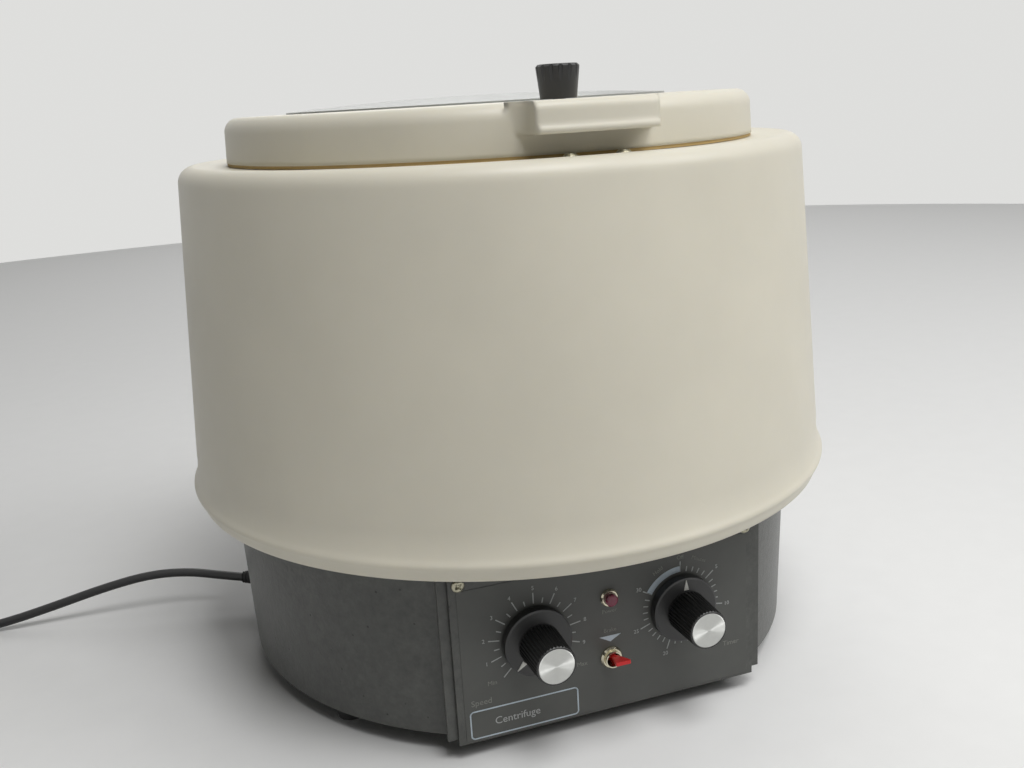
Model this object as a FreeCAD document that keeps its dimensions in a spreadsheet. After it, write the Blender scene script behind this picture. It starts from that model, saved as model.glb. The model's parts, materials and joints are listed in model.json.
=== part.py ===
import FreeCAD, Part
import math
import os

import Sketcher

# Bench centrifuge with a round moulded case, a hinged lid and a swing-out rotor for four cups.
# The origin is on the bench under the rotor's axis. +Z is up and the control panel faces -Y.

# Driving sizes in millimetres and degrees, each written once.
SIZES = {
    # Feet and base
    "foot_height": 12.0,
    "foot_radius": 10.0,
    "foot_taper": 1.5,
    "foot_inset": 16.0,
    "foot_azimuth": 34.0,
    "foot_recess_radius": 5.6,
    "foot_recess_depth": 4.0,
    "foot_screw_radius": 2.1,
    "foot_screw_head": 5.0,
    "foot_screw_head_height": 2.2,
    "drum_set_in": 16.5,
    "drum_flare": 3.4,
    "drum_wall": 3.0,
    "deck_level": 131.0,
    "deck_thickness": 4.0,
    "deck_gap": 2.2,
    "motor_opening_radius": 54.0,
    "lip_width": 9.0,
    "lip_thickness": 3.0,
    "bottom_plate_thickness": 2.0,
    "vent_inner": 92.0,
    "vent_outer": 138.0,
    "vent_width": 5.0,
    "bay_half_width": 92.5,
    "strip_width": 6.5,
    "strip_setback": 0.8,
    "strip_thickness": 3.0,
    "bay_window_inset": 14.5,
    "bay_window_low": 22.0,
    "bay_window_high": 100.0,
    # Control panel
    "panel_set_in": 15.0,
    "panel_thickness": 1.6,
    "panel_overhang": 0.8,
    "panel_low": 10.7,
    "panel_high": 126.0,
    "overlay_thickness": 0.3,
    "overlay_margin": 4.3,
    "overlay_low": 12.4,
    "overlay_high": 104.3,
    "control_across": 45.4,
    "control_level": 67.0,
    "lamp_level": 82.0,
    "toggle_level": 44.5,
    "panel_screw_inset": 5.0,
    "panel_screw_level": 108.0,
    "panel_screw_head": 3.6,
    "panel_screw_radius": 1.9,
    # Knobs of the panel
    "skirt_radius": 20.1,
    "skirt_gap": 1.2,
    "skirt_front": 7.4,
    "knob_front": 33.0,
    "knob_base_radius": 12.3,
    "knob_tip_radius": 11.5,
    "knob_flute_radius": 0.8,
    "inlay_radius": 10.2,
    "inlay_thickness": 0.5,
    "control_shaft_radius": 3.17,
    "control_shaft_reach": 24.0,
    "bush_radius": 4.7,
    "bush_nut_radius": 7.0,
    "bush_nut_height": 2.0,
    "speed_control_radius": 15.0,
    "speed_control_depth": 20.0,
    "timer_side": 50.0,
    "timer_depth": 32.0,
    # Lamp and toggle
    "lamp_radius": 4.6,
    "lamp_bezel_radius": 5.4,
    "lamp_bezel_height": 1.8,
    "lamp_lens_radius": 3.9,
    "lamp_lens_front": 5.2,
    "lamp_depth": 22.0,
    "toggle_case_half_width": 6.6,
    "toggle_case_half_height": 11.5,
    "toggle_case_depth": 19.0,
    "toggle_nut_radius": 6.6,
    "toggle_nut_height": 2.4,
    "toggle_bush_radius": 5.0,
    "toggle_bush_front": 4.6,
    "toggle_bore_radius": 2.6,
    "toggle_mouth_radius": 4.3,
    "toggle_pivot_depth": 4.5,
    "toggle_barrel_radius": 2.3,
    "toggle_barrel_half": 1.1,
    "toggle_stalk_radius": 1.5,
    "toggle_reach": 18.4,
    "toggle_tab_width": 9.2,
    "toggle_tab_root": 3.6,
    "toggle_tab_thickness": 2.0,
    "toggle_angle": 13.0,
    # Case
    "shell_bottom": 119.3,
    "shell_rim_radius": 209.7,
    "ridge_reach": 3.7,
    "ridge_level": 127.8,
    "flare_level": 149.0,
    "flare_set_in": 0.4,
    "shell_draft": 12.1,
    "crest_level": 329.0,
    "roll_radius": 10.0,
    "recess_depth": 1.5,
    "crest_width": 13.6,
    "lid_overlap": 17.4,
    "shell_wall": 5.0,
    "ledge_width": 13.7,
    "ledge_height": 8.0,
    "shell_screw_inset": 5.6,
    "shell_screw_radius": 2.0,
    "shell_screw_head": 4.0,
    # Lid
    "lid_gap": 2.0,
    "lid_set_in": 30.2,
    "lid_draft": 0.9,
    "lid_height": 26.5,
    "lid_wall": 4.0,
    "lid_edge": 9.0,
    "gasket_width": 3.0,
    "window_border": 42.4,
    "window_offset": 24.0,
    "window_seat": 6.0,
    "window_thickness": 3.0,
    "window_rise": 4.5,
    "rabbet_depth": 2.0,
    "handle_half_width": 33.5,
    "handle_reach": 16.1,
    "handle_height": 16.0,
    "handle_wall": 4.0,
    "handle_corner": 7.0,
    "handle_flare": 12.0,
    "bead_height": 4.0,
    "bead_depth": 1.8,
    # Hinge
    "hinge_gap": 8.6,
    "hinge_stand": 6.3,
    "hinge_level": 333.5,
    "knuckle_radius": 4.0,
    "hinge_pin_radius": 1.75,
    "hinge_pin_play": 0.05,
    "knuckle_half_width": 25.0,
    "centre_knuckle_half": 8.7,
    "knuckle_play": 0.3,
    "leaf_half_width": 38.0,
    "leaf_thickness": 1.6,
    "leaf_reach": 5.5,
    "leaf_screw_across": 31.5,
    "lid_leaf_half_width": 25.0,
    "lid_leaf_high": 350.0,
    "lid_leaf_screw_across": 17.0,
    "lid_leaf_screw_level": 343.0,
    "hinge_screw_radius": 1.8,
    "hinge_screw_head": 3.0,
    "hinge_screw_head_height": 1.6,
    # Latch
    "latch_set_in": 23.0,
    "latch_knob_base": 9.9,
    "latch_knob_wide": 11.8,
    "latch_knob_height": 17.8,
    "latch_knob_chamfer": 1.2,
    "latch_flute_radius": 1.4,
    "latch_shaft_radius": 3.5,
    "latch_collar_radius": 6.0,
    "latch_play": 0.05,
    "boss_radius": 12.0,
    "boss_height": 6.0,
    "tongue_length": 32.0,
    "tongue_half_width": 7.0,
    "tongue_thickness": 2.5,
    "tongue_clearance": 0.6,
    "catch_thickness": 2.0,
    "catch_half_width": 20.0,
    "catch_overhang": 4.0,
    "catch_reach": 33.0,
    "catch_screw_across": 14.5,
    "catch_screw_reach": 26.3,
    "catch_screw_radius": 2.0,
    "catch_screw_head": 3.8,
    "catch_screw_head_height": 2.4,
    # Chamber bowl
    "bowl_gap": 3.0,
    "bowl_wall": 1.5,
    "bowl_corner": 12.0,
    "bowl_top_gap": 0.3,
    "plateau_radius": 118.0,
    "plateau_rise": 15.5,
    "plateau_slope": 12.0,
    "cone_foot_radius": 54.0,
    "cone_head_radius": 40.0,
    "cone_rise": 53.0,
    "cone_hole_radius": 20.0,
    "boot_radius": 26.0,
    "boot_bore": 9.0,
    "boot_flange": 3.0,
    "boot_neck": 5.5,
    # Motor
    "motor_radius": 46.0,
    "motor_low": 42.0,
    "isolator_height": 8.0,
    "isolator_radius": 9.0,
    "isolator_circle": 65.0,
    "motor_flange_radius": 76.0,
    "motor_flange_thickness": 3.0,
    "end_bell_height": 30.0,
    "end_bell_nose_radius": 17.0,
    "end_bell_nose_height": 6.0,
    "spindle_radius": 6.0,
    "spindle_play": 0.05,
    "spindle_foot": 18.0,
    "spindle_shoulder_radius": 9.0,
    "spindle_shoulder_height": 10.0,
    "spindle_thread_radius": 5.0,
    # Rotor
    "rotor_drop": 13.0,
    "hub_radius": 22.0,
    "hub_height": 26.0,
    "ring_room": 13.0,
    "web_height": 12.0,
    "swing_room": 18.5,
    "web_radius": 44.0,
    "cup_room": 13.0,
    "prong_inner": 24.0,
    "prong_reach": 14.0,
    "prong_gap": 30.0,
    "prong_thickness": 8.0,
    "prong_height": 16.0,
    "prong_drop": 9.0,
    "trunnion_radius": 4.0,
    "trunnion_play": 0.06,
    "trunnion_end": 0.6,
    "ring_radius": 27.0,
    "ring_height": 12.0,
    "nut_radius": 11.0,
    "nut_height": 12.0,
    "cup_radius": 22.0,
    "cup_wall": 1.0,
    "cup_play": 0.2,
    "cup_flange_radius": 25.5,
    "cup_flange_height": 2.0,
    "cup_corner": 10.0,
    # Speed control board
    "board_inset": 78.0,
    "board_half_length": 34.0,
    "board_half_width": 28.0,
    "board_thickness": 1.6,
    "capacitor_radius": 8.0,
    "capacitor_height": 22.0,
    "heat_sink_height": 16.0,
    "triac_height": 8.0,
    "standoff_height": 8.0,
    "standoff_radius": 3.0,
    # Mains lead
    "relief_azimuth": 156.0,
    "relief_level": 22.0,
    "relief_neck": 6.0,
    "relief_flange": 8.0,
    "relief_flange_height": 2.5,
    "relief_length": 20.0,
    "relief_tip": 4.2,
    "cord_radius": 3.2,
    "coil_turn_radius": 36.8,
    "coil_half_width": 9.6,
    "coil_height": 12.8,
    "plug_level": 10.5,
    "plug_length": 36.0,
    "plug_half_width": 12.5,
    "plug_half_height": 10.2,
    "blade_length": 17.0,
    "blade_width": 6.3,
    "blade_thickness": 1.5,
    "blade_spacing": 12.7,
    "ground_radius": 2.4,
    "ground_length": 20.0,
    # Clearances between neighbours
    "seat_gap": 0.3,
    "screw_play": 0.1,
    "fit_play": 0.03,
}

# Counts
CUPS = 4
VENTS = 16
KNOB_FLUTES = 36
LATCH_FLUTES = 14
SHELL_SCREWS = 6
ISOLATORS = 3

# The share of a rounding's radius that its middle lies in from each side of the square corner
ARC_SHARE = 1 - math.sqrt(0.5)

UP = FreeCAD.Vector(0, 0, 1)
FORWARD = FreeCAD.Vector(0, -1, 0)
BACKWARD = FreeCAD.Vector(0, 1, 0)
SIDEWAYS = FreeCAD.Vector(1, 0, 0)

doc = FreeCAD.newDocument("Centrifuge")


# Sizes that carry their formula

class Size:
    """A length of the sheet, or a formula of such lengths, with its number."""

    def __init__(self, value, text):
        self.value = value
        self.text = text

    def __add__(self, other):
        return combine(self, "+", other)

    def __radd__(self, other):
        return combine(other, "+", self)

    def __sub__(self, other):
        return combine(self, "-", other)

    def __rsub__(self, other):
        return combine(other, "-", self)

    def __mul__(self, other):
        return combine(self, "*", other)

    def __rmul__(self, other):
        return combine(other, "*", self)

    def __truediv__(self, other):
        return combine(self, "/", other)

    def __neg__(self):
        return combine(-1, "*", self)


def as_size(item):
    """The item itself, or a bare number as a size."""
    if isinstance(item, Size):
        return item
    return Size(float(item), "%.10g" % item)


def combine(left, sign, right):
    """The formula of two sizes and its number."""
    left = as_size(left)
    right = as_size(right)
    if sign == "+":
        value = left.value + right.value
    elif sign == "-":
        value = left.value - right.value
    elif sign == "*":
        value = left.value * right.value
    else:
        value = left.value / right.value
    return Size(value, "(%s %s %s)" % (left.text, sign, right.text))


def root(size):
    """The square root of a size."""
    return Size(math.sqrt(size.value), "sqrt(%s)" % size.text)


class SheetSizes:
    """Gives each size of the sheet by its name."""

    def __getattr__(self, name):
        return Size(SIZES[name], "Sizes." + name)


def make_sheet():
    """Write the driving sizes into the spreadsheet."""
    sheet = doc.addObject("Spreadsheet::Sheet", "Sizes")
    for row, (name, value) in enumerate(SIZES.items(), start=1):
        sheet.set("A%d" % row, name)
        sheet.set("B%d" % row, str(value))
        sheet.setAlias("B%d" % row, name)
    doc.recompute()


make_sheet()
s = SheetSizes()


# Placing and joining

def number(item):
    """The number of a size or of a bare number."""
    return as_size(item).value


def bind(item, prop, size):
    """Bind a property to a size, or set it where the size is a bare number."""
    if isinstance(size, Size):
        item.setExpression(prop, size.text)


def place(item, at, direction=UP, turn=0.0):
    """Stand an item at a point, with its own Z along a direction, turned about that."""
    rotation = FreeCAD.Rotation(UP, direction).multiply(FreeCAD.Rotation(UP, turn))
    point = FreeCAD.Vector(number(at[0]), number(at[1]), number(at[2]))
    item.Placement = FreeCAD.Placement(point, rotation)
    for axis, size in zip("xyz", at):
        bind(item, "Placement.Base." + axis, size)
    return item


def turned(angle, x, y):
    """The place of (x, y) after a turn about Z by an angle in degrees."""
    cosine = math.cos(math.radians(angle))
    sine = math.sin(math.radians(angle))
    return x * cosine - y * sine, x * sine + y * cosine


def add(kind, name, **sizes):
    """A new object of the document, with its sizes bound."""
    item = doc.addObject(kind, name)
    item.Label = name
    for prop, size in sizes.items():
        setattr(item, prop, number(size))
        bind(item, prop, size)
    return item


def box(name, low, high):
    """A box between two corners."""
    spans = [top - bottom for bottom, top in zip(low, high)]
    item = add("Part::Box", name, Length=spans[0], Width=spans[1], Height=spans[2])
    return place(item, low)


def rod(name, radius, at, length, direction=UP):
    """A cylinder from a point along a direction."""
    item = add("Part::Cylinder", name, Radius=radius, Height=length)
    return place(item, at, direction)


def cone(name, radius, end_radius, at, length, direction=UP):
    """A cone frustum from a point along a direction."""
    item = add("Part::Cone", name, Radius1=radius, Radius2=end_radius, Height=length)
    return place(item, at, direction)


def fuse(name, items):
    """One solid of several that touch."""
    item = add("Part::MultiFuse", name)
    item.Shapes = items
    item.Refine = True
    return item


def group(name, items):
    """Separate solids that share a node."""
    item = add("Part::Compound", name)
    item.Links = items
    return item


def cut(name, base, tools):
    """A base less one tool or several."""
    item = add("Part::Cut", name)
    item.Base = base
    item.Tool = tools[0] if len(tools) == 1 else fuse(name + "_cutters", tools)
    item.Refine = True
    return item


def common(name, base, tool):
    """What two solids share."""
    item = add("Part::Common", name)
    item.Base = base
    item.Tool = tool
    return item


# Sketched outlines

class Via:
    """The middle of an arc between the corners before and after it."""

    def __init__(self, u, v):
        self.place = (u, v)


def rounding(u, v, radius, first, second):
    """Start, middle and end of a quarter round at a square corner, given its two legs."""
    middle = radius * ARC_SHARE
    return [
        (u + radius * first[0], v + radius * first[1]),
        Via(u + middle * (first[0] + second[0]), v + middle * (first[1] + second[1])),
        (u + radius * second[0], v + radius * second[1]),
    ]


def pin(sketch, geometry, end, place_at):
    """Hold a point of a sketch at its place."""
    for kind, axis, size in zip(("DistanceX", "DistanceY"), (-2, -1), place_at):
        if number(size) == 0:
            sketch.addConstraint(Sketcher.Constraint("PointOnObject", geometry, end, axis))
            continue
        index = sketch.addConstraint(Sketcher.Constraint(kind, geometry, end, number(size)))
        bind(sketch, "Constraints[%d]" % index, size)


def draw(sketch, outline):
    """Draw a closed outline of corners, with arcs where a Via stands between two."""
    flat = [FreeCAD.Vector(number(p[0]), number(p[1]), 0)
            for p in (item.place if isinstance(item, Via) else item for item in outline)]
    spans = []
    count = len(outline)
    for index, item in enumerate(outline):
        if isinstance(item, Via):
            continue
        after = (index + 1) % count
        if isinstance(outline[after], Via):
            end = (index + 2) % count
            arc = sketch.addGeometry(Part.Arc(flat[index], flat[after], flat[end]))
            runs_back = sketch.getPoint(arc, 1).distanceToPoint(flat[index]) > 1e-6
            spans.append((arc, 2, 1, index) if runs_back else (arc, 1, 2, index))
            middle = sketch.addGeometry(Part.Point(flat[after]), True)
            pin(sketch, middle, 1, outline[after].place)
            sketch.addConstraint(Sketcher.Constraint("PointOnObject", middle, 1, arc))
        else:
            line = sketch.addGeometry(Part.LineSegment(flat[index], flat[after]))
            spans.append((line, 1, 2, index))
    for this, following in zip(spans, spans[1:] + spans[:1]):
        sketch.addConstraint(
            Sketcher.Constraint("Coincident", this[0], this[2], following[0], following[1]))
    for geometry, start, _, index in spans:
        pin(sketch, geometry, start, outline[index])


def draw_circle(sketch, radius, u=0, v=0):
    """Draw a circle about a point."""
    centre = FreeCAD.Vector(number(u), number(v), 0)
    circle = sketch.addGeometry(Part.Circle(centre, FreeCAD.Vector(0, 0, 1), number(radius)))
    pin(sketch, circle, 3, (u, v))
    index = sketch.addConstraint(Sketcher.Constraint("Radius", circle, number(radius)))
    bind(sketch, "Constraints[%d]" % index, radius)


def plane_of(body, role):
    """One of the body's own origin planes or axes."""
    for feature in body.Origin.OriginFeatures:
        if feature.Role == role:
            return feature
    raise RuntimeError("No origin feature " + role)


def new_sketch(body, name, role="XZ_Plane", lift=0):
    """A sketch on one of the body's own planes, lifted along its normal."""
    sketch = body.newObject("Sketcher::SketchObject", name)
    sketch.AttachmentSupport = [(plane_of(body, role), "")]
    sketch.MapMode = "FlatFace"
    sketch.AttachmentOffset = FreeCAD.Placement(
        FreeCAD.Vector(0, 0, number(lift)), FreeCAD.Rotation())
    bind(sketch, "AttachmentOffset.Base.z", lift)
    return sketch


def new_body(name):
    """An empty body."""
    body = doc.addObject("PartDesign::Body", name)
    body.Label = name
    return body


def spin(body, name, outline):
    """Revolve an outline of (radius, height) about the body's Z."""
    sketch = new_sketch(body, name + "_outline")
    draw(sketch, outline)
    feature = body.newObject("PartDesign::Revolution", name)
    feature.Profile = sketch
    feature.ReferenceAxis = (sketch, ["V_Axis"])
    feature.Angle = 360
    return feature


def turned_piece(name, outline, at=(0, 0, 0), direction=UP):
    """A body that is one revolved outline."""
    body = new_body(name)
    spin(body, name + "_turning", outline)
    return place(body, at, direction)


def pad(body, name, sketch, length):
    """Raise a sketch along its normal."""
    feature = body.newObject("PartDesign::Pad", name)
    feature.Profile = sketch
    feature.Length = number(length)
    bind(feature, "Length", length)
    return feature


def pocket(body, name, sketch, both_ways=False):
    """Cut a sketch right through, along its normal or both ways."""
    feature = body.newObject("PartDesign::Pocket", name)
    feature.Profile = sketch
    feature.Type = "ThroughAll"
    feature.Midplane = both_ways
    feature.Reversed = not both_ways
    return feature


def repeat_round(body, name, feature, count):
    """Repeat a feature evenly about the body's Z."""
    pattern = body.newObject("PartDesign::PolarPattern", name)
    pattern.Originals = [feature]
    pattern.Axis = (plane_of(body, "Z_Axis"), [""])
    pattern.Angle = 360
    pattern.Occurrences = count
    body.Tip = pattern
    return pattern


def plate(name, outline, low, thickness, holes=()):
    """A flat plate of an outline, with round holes given as (radius, x, y)."""
    body = new_body(name)
    sketch = new_sketch(body, name + "_outline", "XY_Plane", low)
    draw(sketch, outline)
    for radius, across, along in holes:
        draw_circle(sketch, radius, across, along)
    pad(body, name + "_pad", sketch, thickness)
    return body


# Radii that follow one another from the shell's rim inwards

shell_inside = s.shell_rim_radius - s.shell_wall
ridge_radius = s.shell_rim_radius + s.ridge_reach
flare_radius = s.shell_rim_radius - s.flare_set_in
shell_top_radius = s.shell_rim_radius - s.shell_draft
recess_radius = shell_top_radius - s.crest_width
lid_radius = shell_top_radius - s.lid_set_in
opening_radius = lid_radius - s.lid_overlap
deck_radius = shell_inside - s.deck_gap
drum_radius_low = deck_radius - s.drum_set_in
drum_radius_high = drum_radius_low + s.drum_flare
panel_face = drum_radius_low - s.panel_set_in
ledge_radius = shell_inside - s.ledge_width
shell_screw_circle = ledge_radius + s.shell_screw_inset
bowl_radius = ledge_radius - s.bowl_gap
board_centre = drum_radius_low - s.board_inset
foot_across, foot_along = turned(SIZES["foot_azimuth"], drum_radius_low - s.foot_inset, 0)
window_radius = lid_radius - s.window_border
handle_radius = lid_radius + s.handle_reach
hinge_offset = lid_radius + s.hinge_gap
leaf_outer = hinge_offset + s.leaf_reach
latch_offset = opening_radius - s.latch_set_in
catch_inner = opening_radius - s.catch_overhang
catch_outer = opening_radius + s.catch_reach
catch_screw_along = opening_radius + s.catch_screw_reach

# Levels and faces that several pieces share

deck_under = s.deck_level - s.deck_thickness
plate_top = s.foot_height + s.bottom_plate_thickness
strip_half_width = s.bay_half_width + s.strip_width
bay_window_half_width = s.bay_half_width - s.bay_window_inset
panel_half_width = s.bay_half_width + s.panel_overhang
panel_screw_across = s.bay_half_width - s.panel_screw_inset
bay_face = panel_face - s.overlay_thickness - s.panel_thickness
sheet_face = panel_face - s.overlay_thickness
recess_level = s.crest_level - s.recess_depth
flange_under = recess_level - s.shell_wall
lid_bottom = recess_level + s.lid_gap
lid_top = lid_bottom + s.lid_height
lid_under = lid_top - s.lid_wall
lid_side = lid_radius - s.lid_draft
rabbet_level = lid_top - s.rabbet_depth
catch_under = flange_under - s.catch_thickness
tongue_top = catch_under - s.tongue_clearance
tongue_low = tongue_top - s.tongue_thickness
isolator_top = s.deck_level + s.isolator_height
spindle_low = s.motor_low + s.spindle_foot
motor_flange_top = isolator_top + s.motor_flange_thickness
end_bell_top = motor_flange_top + s.end_bell_height
nose_top = end_bell_top + s.end_bell_nose_height
bowl_inner = bowl_radius - s.bowl_wall
bowl_top = flange_under - s.bowl_top_gap
plateau_level = s.deck_level + s.plateau_rise
cone_top = s.deck_level + s.cone_rise
boot_seat = cone_top + s.bowl_wall
pivot_radius = s.web_radius + s.ring_room + s.ring_radius
prong_outer = pivot_radius + s.prong_reach
cup_reach = bowl_inner - s.swing_room - pivot_radius
cup_bottom = plateau_level + s.bowl_wall + s.cup_room
pivot_level = cup_bottom + cup_reach
ring_top = pivot_level + s.ring_height / 2
cup_drop = ring_top - cup_bottom
rotor_low = pivot_level - s.rotor_drop
hub_top = rotor_low + s.hub_height
pin_bore = s.hinge_pin_radius + s.hinge_pin_play
pad_face = hinge_offset - s.hinge_stand


# Base

def drum_radius_at(level):
    """The drum's outer radius at a height of its tapered wall."""
    share = (level - s.foot_height) / (deck_under - s.foot_height)
    return drum_radius_low + (drum_radius_high - drum_radius_low) * share


def relief_frame():
    """The place and direction of the lead's exit, on the drum's wall."""
    angle = SIZES["relief_azimuth"]
    direction = FreeCAD.Vector(math.cos(math.radians(angle)), math.sin(math.radians(angle)), 0)
    wall = drum_radius_at(s.relief_level)
    across, along = turned(angle, wall, 0)
    return (across, along, s.relief_level), direction


def base_housing():
    """Cast base: tapered drum, flat front bay with side strips, and the deck on top."""
    wall_height = deck_under - s.foot_height
    reach = deck_radius + 20
    front_trim = box("front_trim", (-reach, -reach, 0), (reach, -bay_face, deck_under))
    inner_face = bay_face - s.drum_wall
    inner_trim = box("inner_trim", (-reach, -reach, 0), (reach, -inner_face, deck_under))
    drum = cut("drum", cone("drum_cone", drum_radius_low, drum_radius_high,
                            (0, 0, s.foot_height), wall_height), [front_trim])
    bay_back = s.bay_half_width
    bay = box("bay", (-s.bay_half_width, -bay_face, s.foot_height),
              (s.bay_half_width, -bay_back, deck_under))
    strip_face = bay_face - s.strip_setback
    strips = box("strips", (-strip_half_width, -strip_face, s.foot_height + 1.5),
                 (strip_half_width, s.strip_thickness - strip_face, deck_under))
    deck = rod("deck", deck_radius, (0, 0, deck_under), s.deck_thickness)
    outside = fuse("base_outside", [drum, bay, strips, deck])

    hollow_drum = cut("hollow_drum", cone(
        "hollow_cone", drum_radius_low - s.drum_wall, drum_radius_high - s.drum_wall,
        (0, 0, s.foot_height), wall_height), [inner_trim])
    hollow_bay = box("hollow_bay", (s.drum_wall - s.bay_half_width, -inner_face, s.foot_height),
                     (s.bay_half_width - s.drum_wall, -bay_back, deck_under))
    hollow = fuse("base_hollow", [hollow_drum, hollow_bay])
    window = box("bay_window",
                 (-bay_window_half_width, -panel_face, s.bay_window_low),
                 (bay_window_half_width, -bay_back, s.bay_window_high))
    motor_hole = rod("motor_hole", s.motor_opening_radius, (0, 0, deck_under), s.deck_thickness)
    tools = [hollow, window, motor_hole]
    for number_of in range(SHELL_SCREWS):
        across, along = turned(shell_screw_angle(number_of), shell_screw_circle, 0)
        tools.append(rod("deck_hole_%d" % number_of, s.shell_screw_radius + s.screw_play,
                         (across, along, deck_under), s.deck_thickness))
    for side in (-1, 1):
        tools.append(rod("panel_thread_%d" % side, s.panel_screw_radius + s.screw_play,
                         (panel_screw_across * side, -inner_face, s.panel_screw_level),
                         panel_face - inner_face, FORWARD))
    walls = cut("base_walls", outside, tools)

    lip_outside = cut("lip_disc", rod("lip_rod", drum_radius_low - s.drum_wall / 2,
                                      (0, 0, plate_top), s.lip_thickness), [
        rod("lip_bore", drum_radius_low - s.drum_wall - s.lip_width,
            (0, 0, plate_top), s.lip_thickness),
        box("lip_trim", (-reach, -reach, 0), (reach, -inner_face, deck_under))])
    exit_point, exit_direction = relief_frame()
    clear_out = turned(SIZES["relief_azimuth"],
                       drum_radius_at(s.relief_level) + s.drum_wall, 0)
    relief_hole = rod("relief_hole", s.relief_neck + s.screw_play,
                      (clear_out[0], clear_out[1], s.relief_level),
                      s.drum_wall * 9, -exit_direction)
    relief_room = rod("relief_room", s.relief_flange + s.seat_gap, exit_point,
                      s.drum_wall * 8, -exit_direction)
    ring = cut("lip_ring", lip_outside, [relief_room])
    return cut("base_housing", fuse("base_with_lip", [walls, ring]), [relief_hole])


def shell_screw_angle(index):
    """The angle of a screw that holds the case to the deck."""
    return 360.0 / SHELL_SCREWS * (index + 0.5)


def bottom_plate():
    """Pressed plate that closes the base, with air slots round its middle."""
    body = new_body("bottom_plate")
    radius = drum_radius_low - s.drum_wall - s.seat_gap
    front = bay_face - s.drum_wall - s.seat_gap
    corner = root(radius * radius - front * front)
    sketch = new_sketch(body, "bottom_outline", "XY_Plane", s.foot_height)
    draw(sketch, [(-corner, -front), (corner, -front), Via(0, radius)])
    for across in (-foot_across, foot_across):
        for along in (-foot_along, foot_along):
            draw_circle(sketch, s.foot_screw_radius + s.screw_play, across, along)
    pad(body, "bottom_pad", sketch, s.bottom_plate_thickness)
    slot = new_sketch(body, "vent_outline", "XY_Plane", s.foot_height)
    half = s.vent_width / 2
    draw(slot, [(s.vent_inner, -half), (s.vent_outer, -half), Via(s.vent_outer + half, 0),
                (s.vent_outer, half), (s.vent_inner, half), Via(s.vent_inner - half, 0)])
    vent = pocket(body, "vent", slot)
    repeat_round(body, "vents", vent, VENTS)
    return body


def foot_places():
    """The four feet's places under the base."""
    return [(foot_across * side, foot_along * end) for side in (-1, 1) for end in (-1, 1)]


def rubber_feet():
    """Tapered rubber feet, each recessed for its screw."""
    feet = []
    bore = s.foot_screw_radius + s.screw_play
    for index, (across, along) in enumerate(foot_places()):
        feet.append(turned_piece("foot_%d" % index, [
            (s.foot_recess_radius, 0), (s.foot_radius - s.foot_taper, 0),
            (s.foot_radius, s.foot_height), (bore, s.foot_height),
            (bore, s.foot_recess_depth), (s.foot_recess_radius, s.foot_recess_depth)],
            (across, along, 0)))
    return group("rubber_feet", feet)


def foot_screws():
    """Pan screws up through the feet into the bottom plate."""
    screws = []
    head_low = s.foot_recess_depth - s.foot_screw_head_height
    shank_top = plate_top + 1.5
    for index, (across, along) in enumerate(foot_places()):
        screws.append(turned_piece("foot_screw_%d" % index, [
            (0, head_low), (s.foot_screw_head - 0.8, head_low),
            (s.foot_screw_head, s.foot_recess_depth), (s.foot_screw_radius, s.foot_recess_depth),
            (s.foot_screw_radius, shank_top), (0, shank_top)], (across, along, 0)))
    return group("foot_screws", screws)


# Case

def outer_shell():
    """Moulded case: rolled top edge, flared skirt with a ridge, and an inner ledge."""
    outer = shell_top_radius
    inner_low = s.shell_rim_radius - s.shell_wall
    ledge_top = s.deck_level + s.ledge_height
    lip = s.shell_wall * 0.4
    roll = rounding(outer, s.crest_level, s.roll_radius, (0, -1), (-1, 0))
    inner_roll = rounding(outer - s.shell_wall, flange_under, s.roll_radius - s.shell_wall,
                          (-1, 0), (0, -1))
    outline = [
        (s.shell_rim_radius, s.shell_bottom),
        (ridge_radius - 1.6, s.ridge_level - 2.2),
        Via(ridge_radius, s.ridge_level),
        (ridge_radius - 1.2, s.ridge_level + 2.6),
        Via((ridge_radius + flare_radius) / 2 - 1.3, (s.ridge_level + s.flare_level) / 2),
        (flare_radius, s.flare_level),
    ]
    outline += roll
    outline += [
        (recess_radius, recess_level),
        (opening_radius + lip, recess_level),
        Via(opening_radius + lip * ARC_SHARE, recess_level - lip * ARC_SHARE),
        (opening_radius, recess_level - lip),
        (opening_radius, flange_under),
    ]
    outline += inner_roll
    outline += [
        (flare_radius - s.shell_wall, s.flare_level),
        (inner_low - 0.5, ledge_top),
        (ledge_radius, ledge_top),
        (ledge_radius, s.deck_level),
        (inner_low, s.deck_level),
        (inner_low, s.shell_bottom),
    ]
    tools = []
    for index in range(SHELL_SCREWS):
        across, along = turned(shell_screw_angle(index), shell_screw_circle, 0)
        tools.append(rod("ledge_hole_%d" % index, s.shell_screw_radius + s.screw_play,
                         (across, along, s.deck_level), s.ledge_height - 1.0))
    for side in (-1, 1):
        tools.append(rod("catch_hole_%d" % side, s.catch_screw_radius + s.screw_play,
                         (s.catch_screw_across * side, -catch_screw_along, flange_under),
                         s.shell_wall))
        tools.append(rod("leaf_hole_%d" % side, s.hinge_screw_radius + s.screw_play,
                         (s.leaf_screw_across * side, hinge_offset, flange_under),
                         s.shell_wall))
    return cut("outer_shell", turned_piece("shell_turning", outline), tools)


def shell_screws():
    """Screws up through the deck's rim into the case's ledge."""
    screws = []
    head_low = deck_under - 2.4
    shank_top = s.deck_level + s.ledge_height - 2.0
    for index in range(SHELL_SCREWS):
        across, along = turned(shell_screw_angle(index), shell_screw_circle, 0)
        screws.append(turned_piece("shell_screw_%d" % index, [
            (0, head_low), (s.shell_screw_head, head_low), (s.shell_screw_head, deck_under),
            (s.shell_screw_radius, deck_under), (s.shell_screw_radius, shank_top),
            (0, shank_top)], (across, along, 0)))
    return group("shell_screws", screws)


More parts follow.
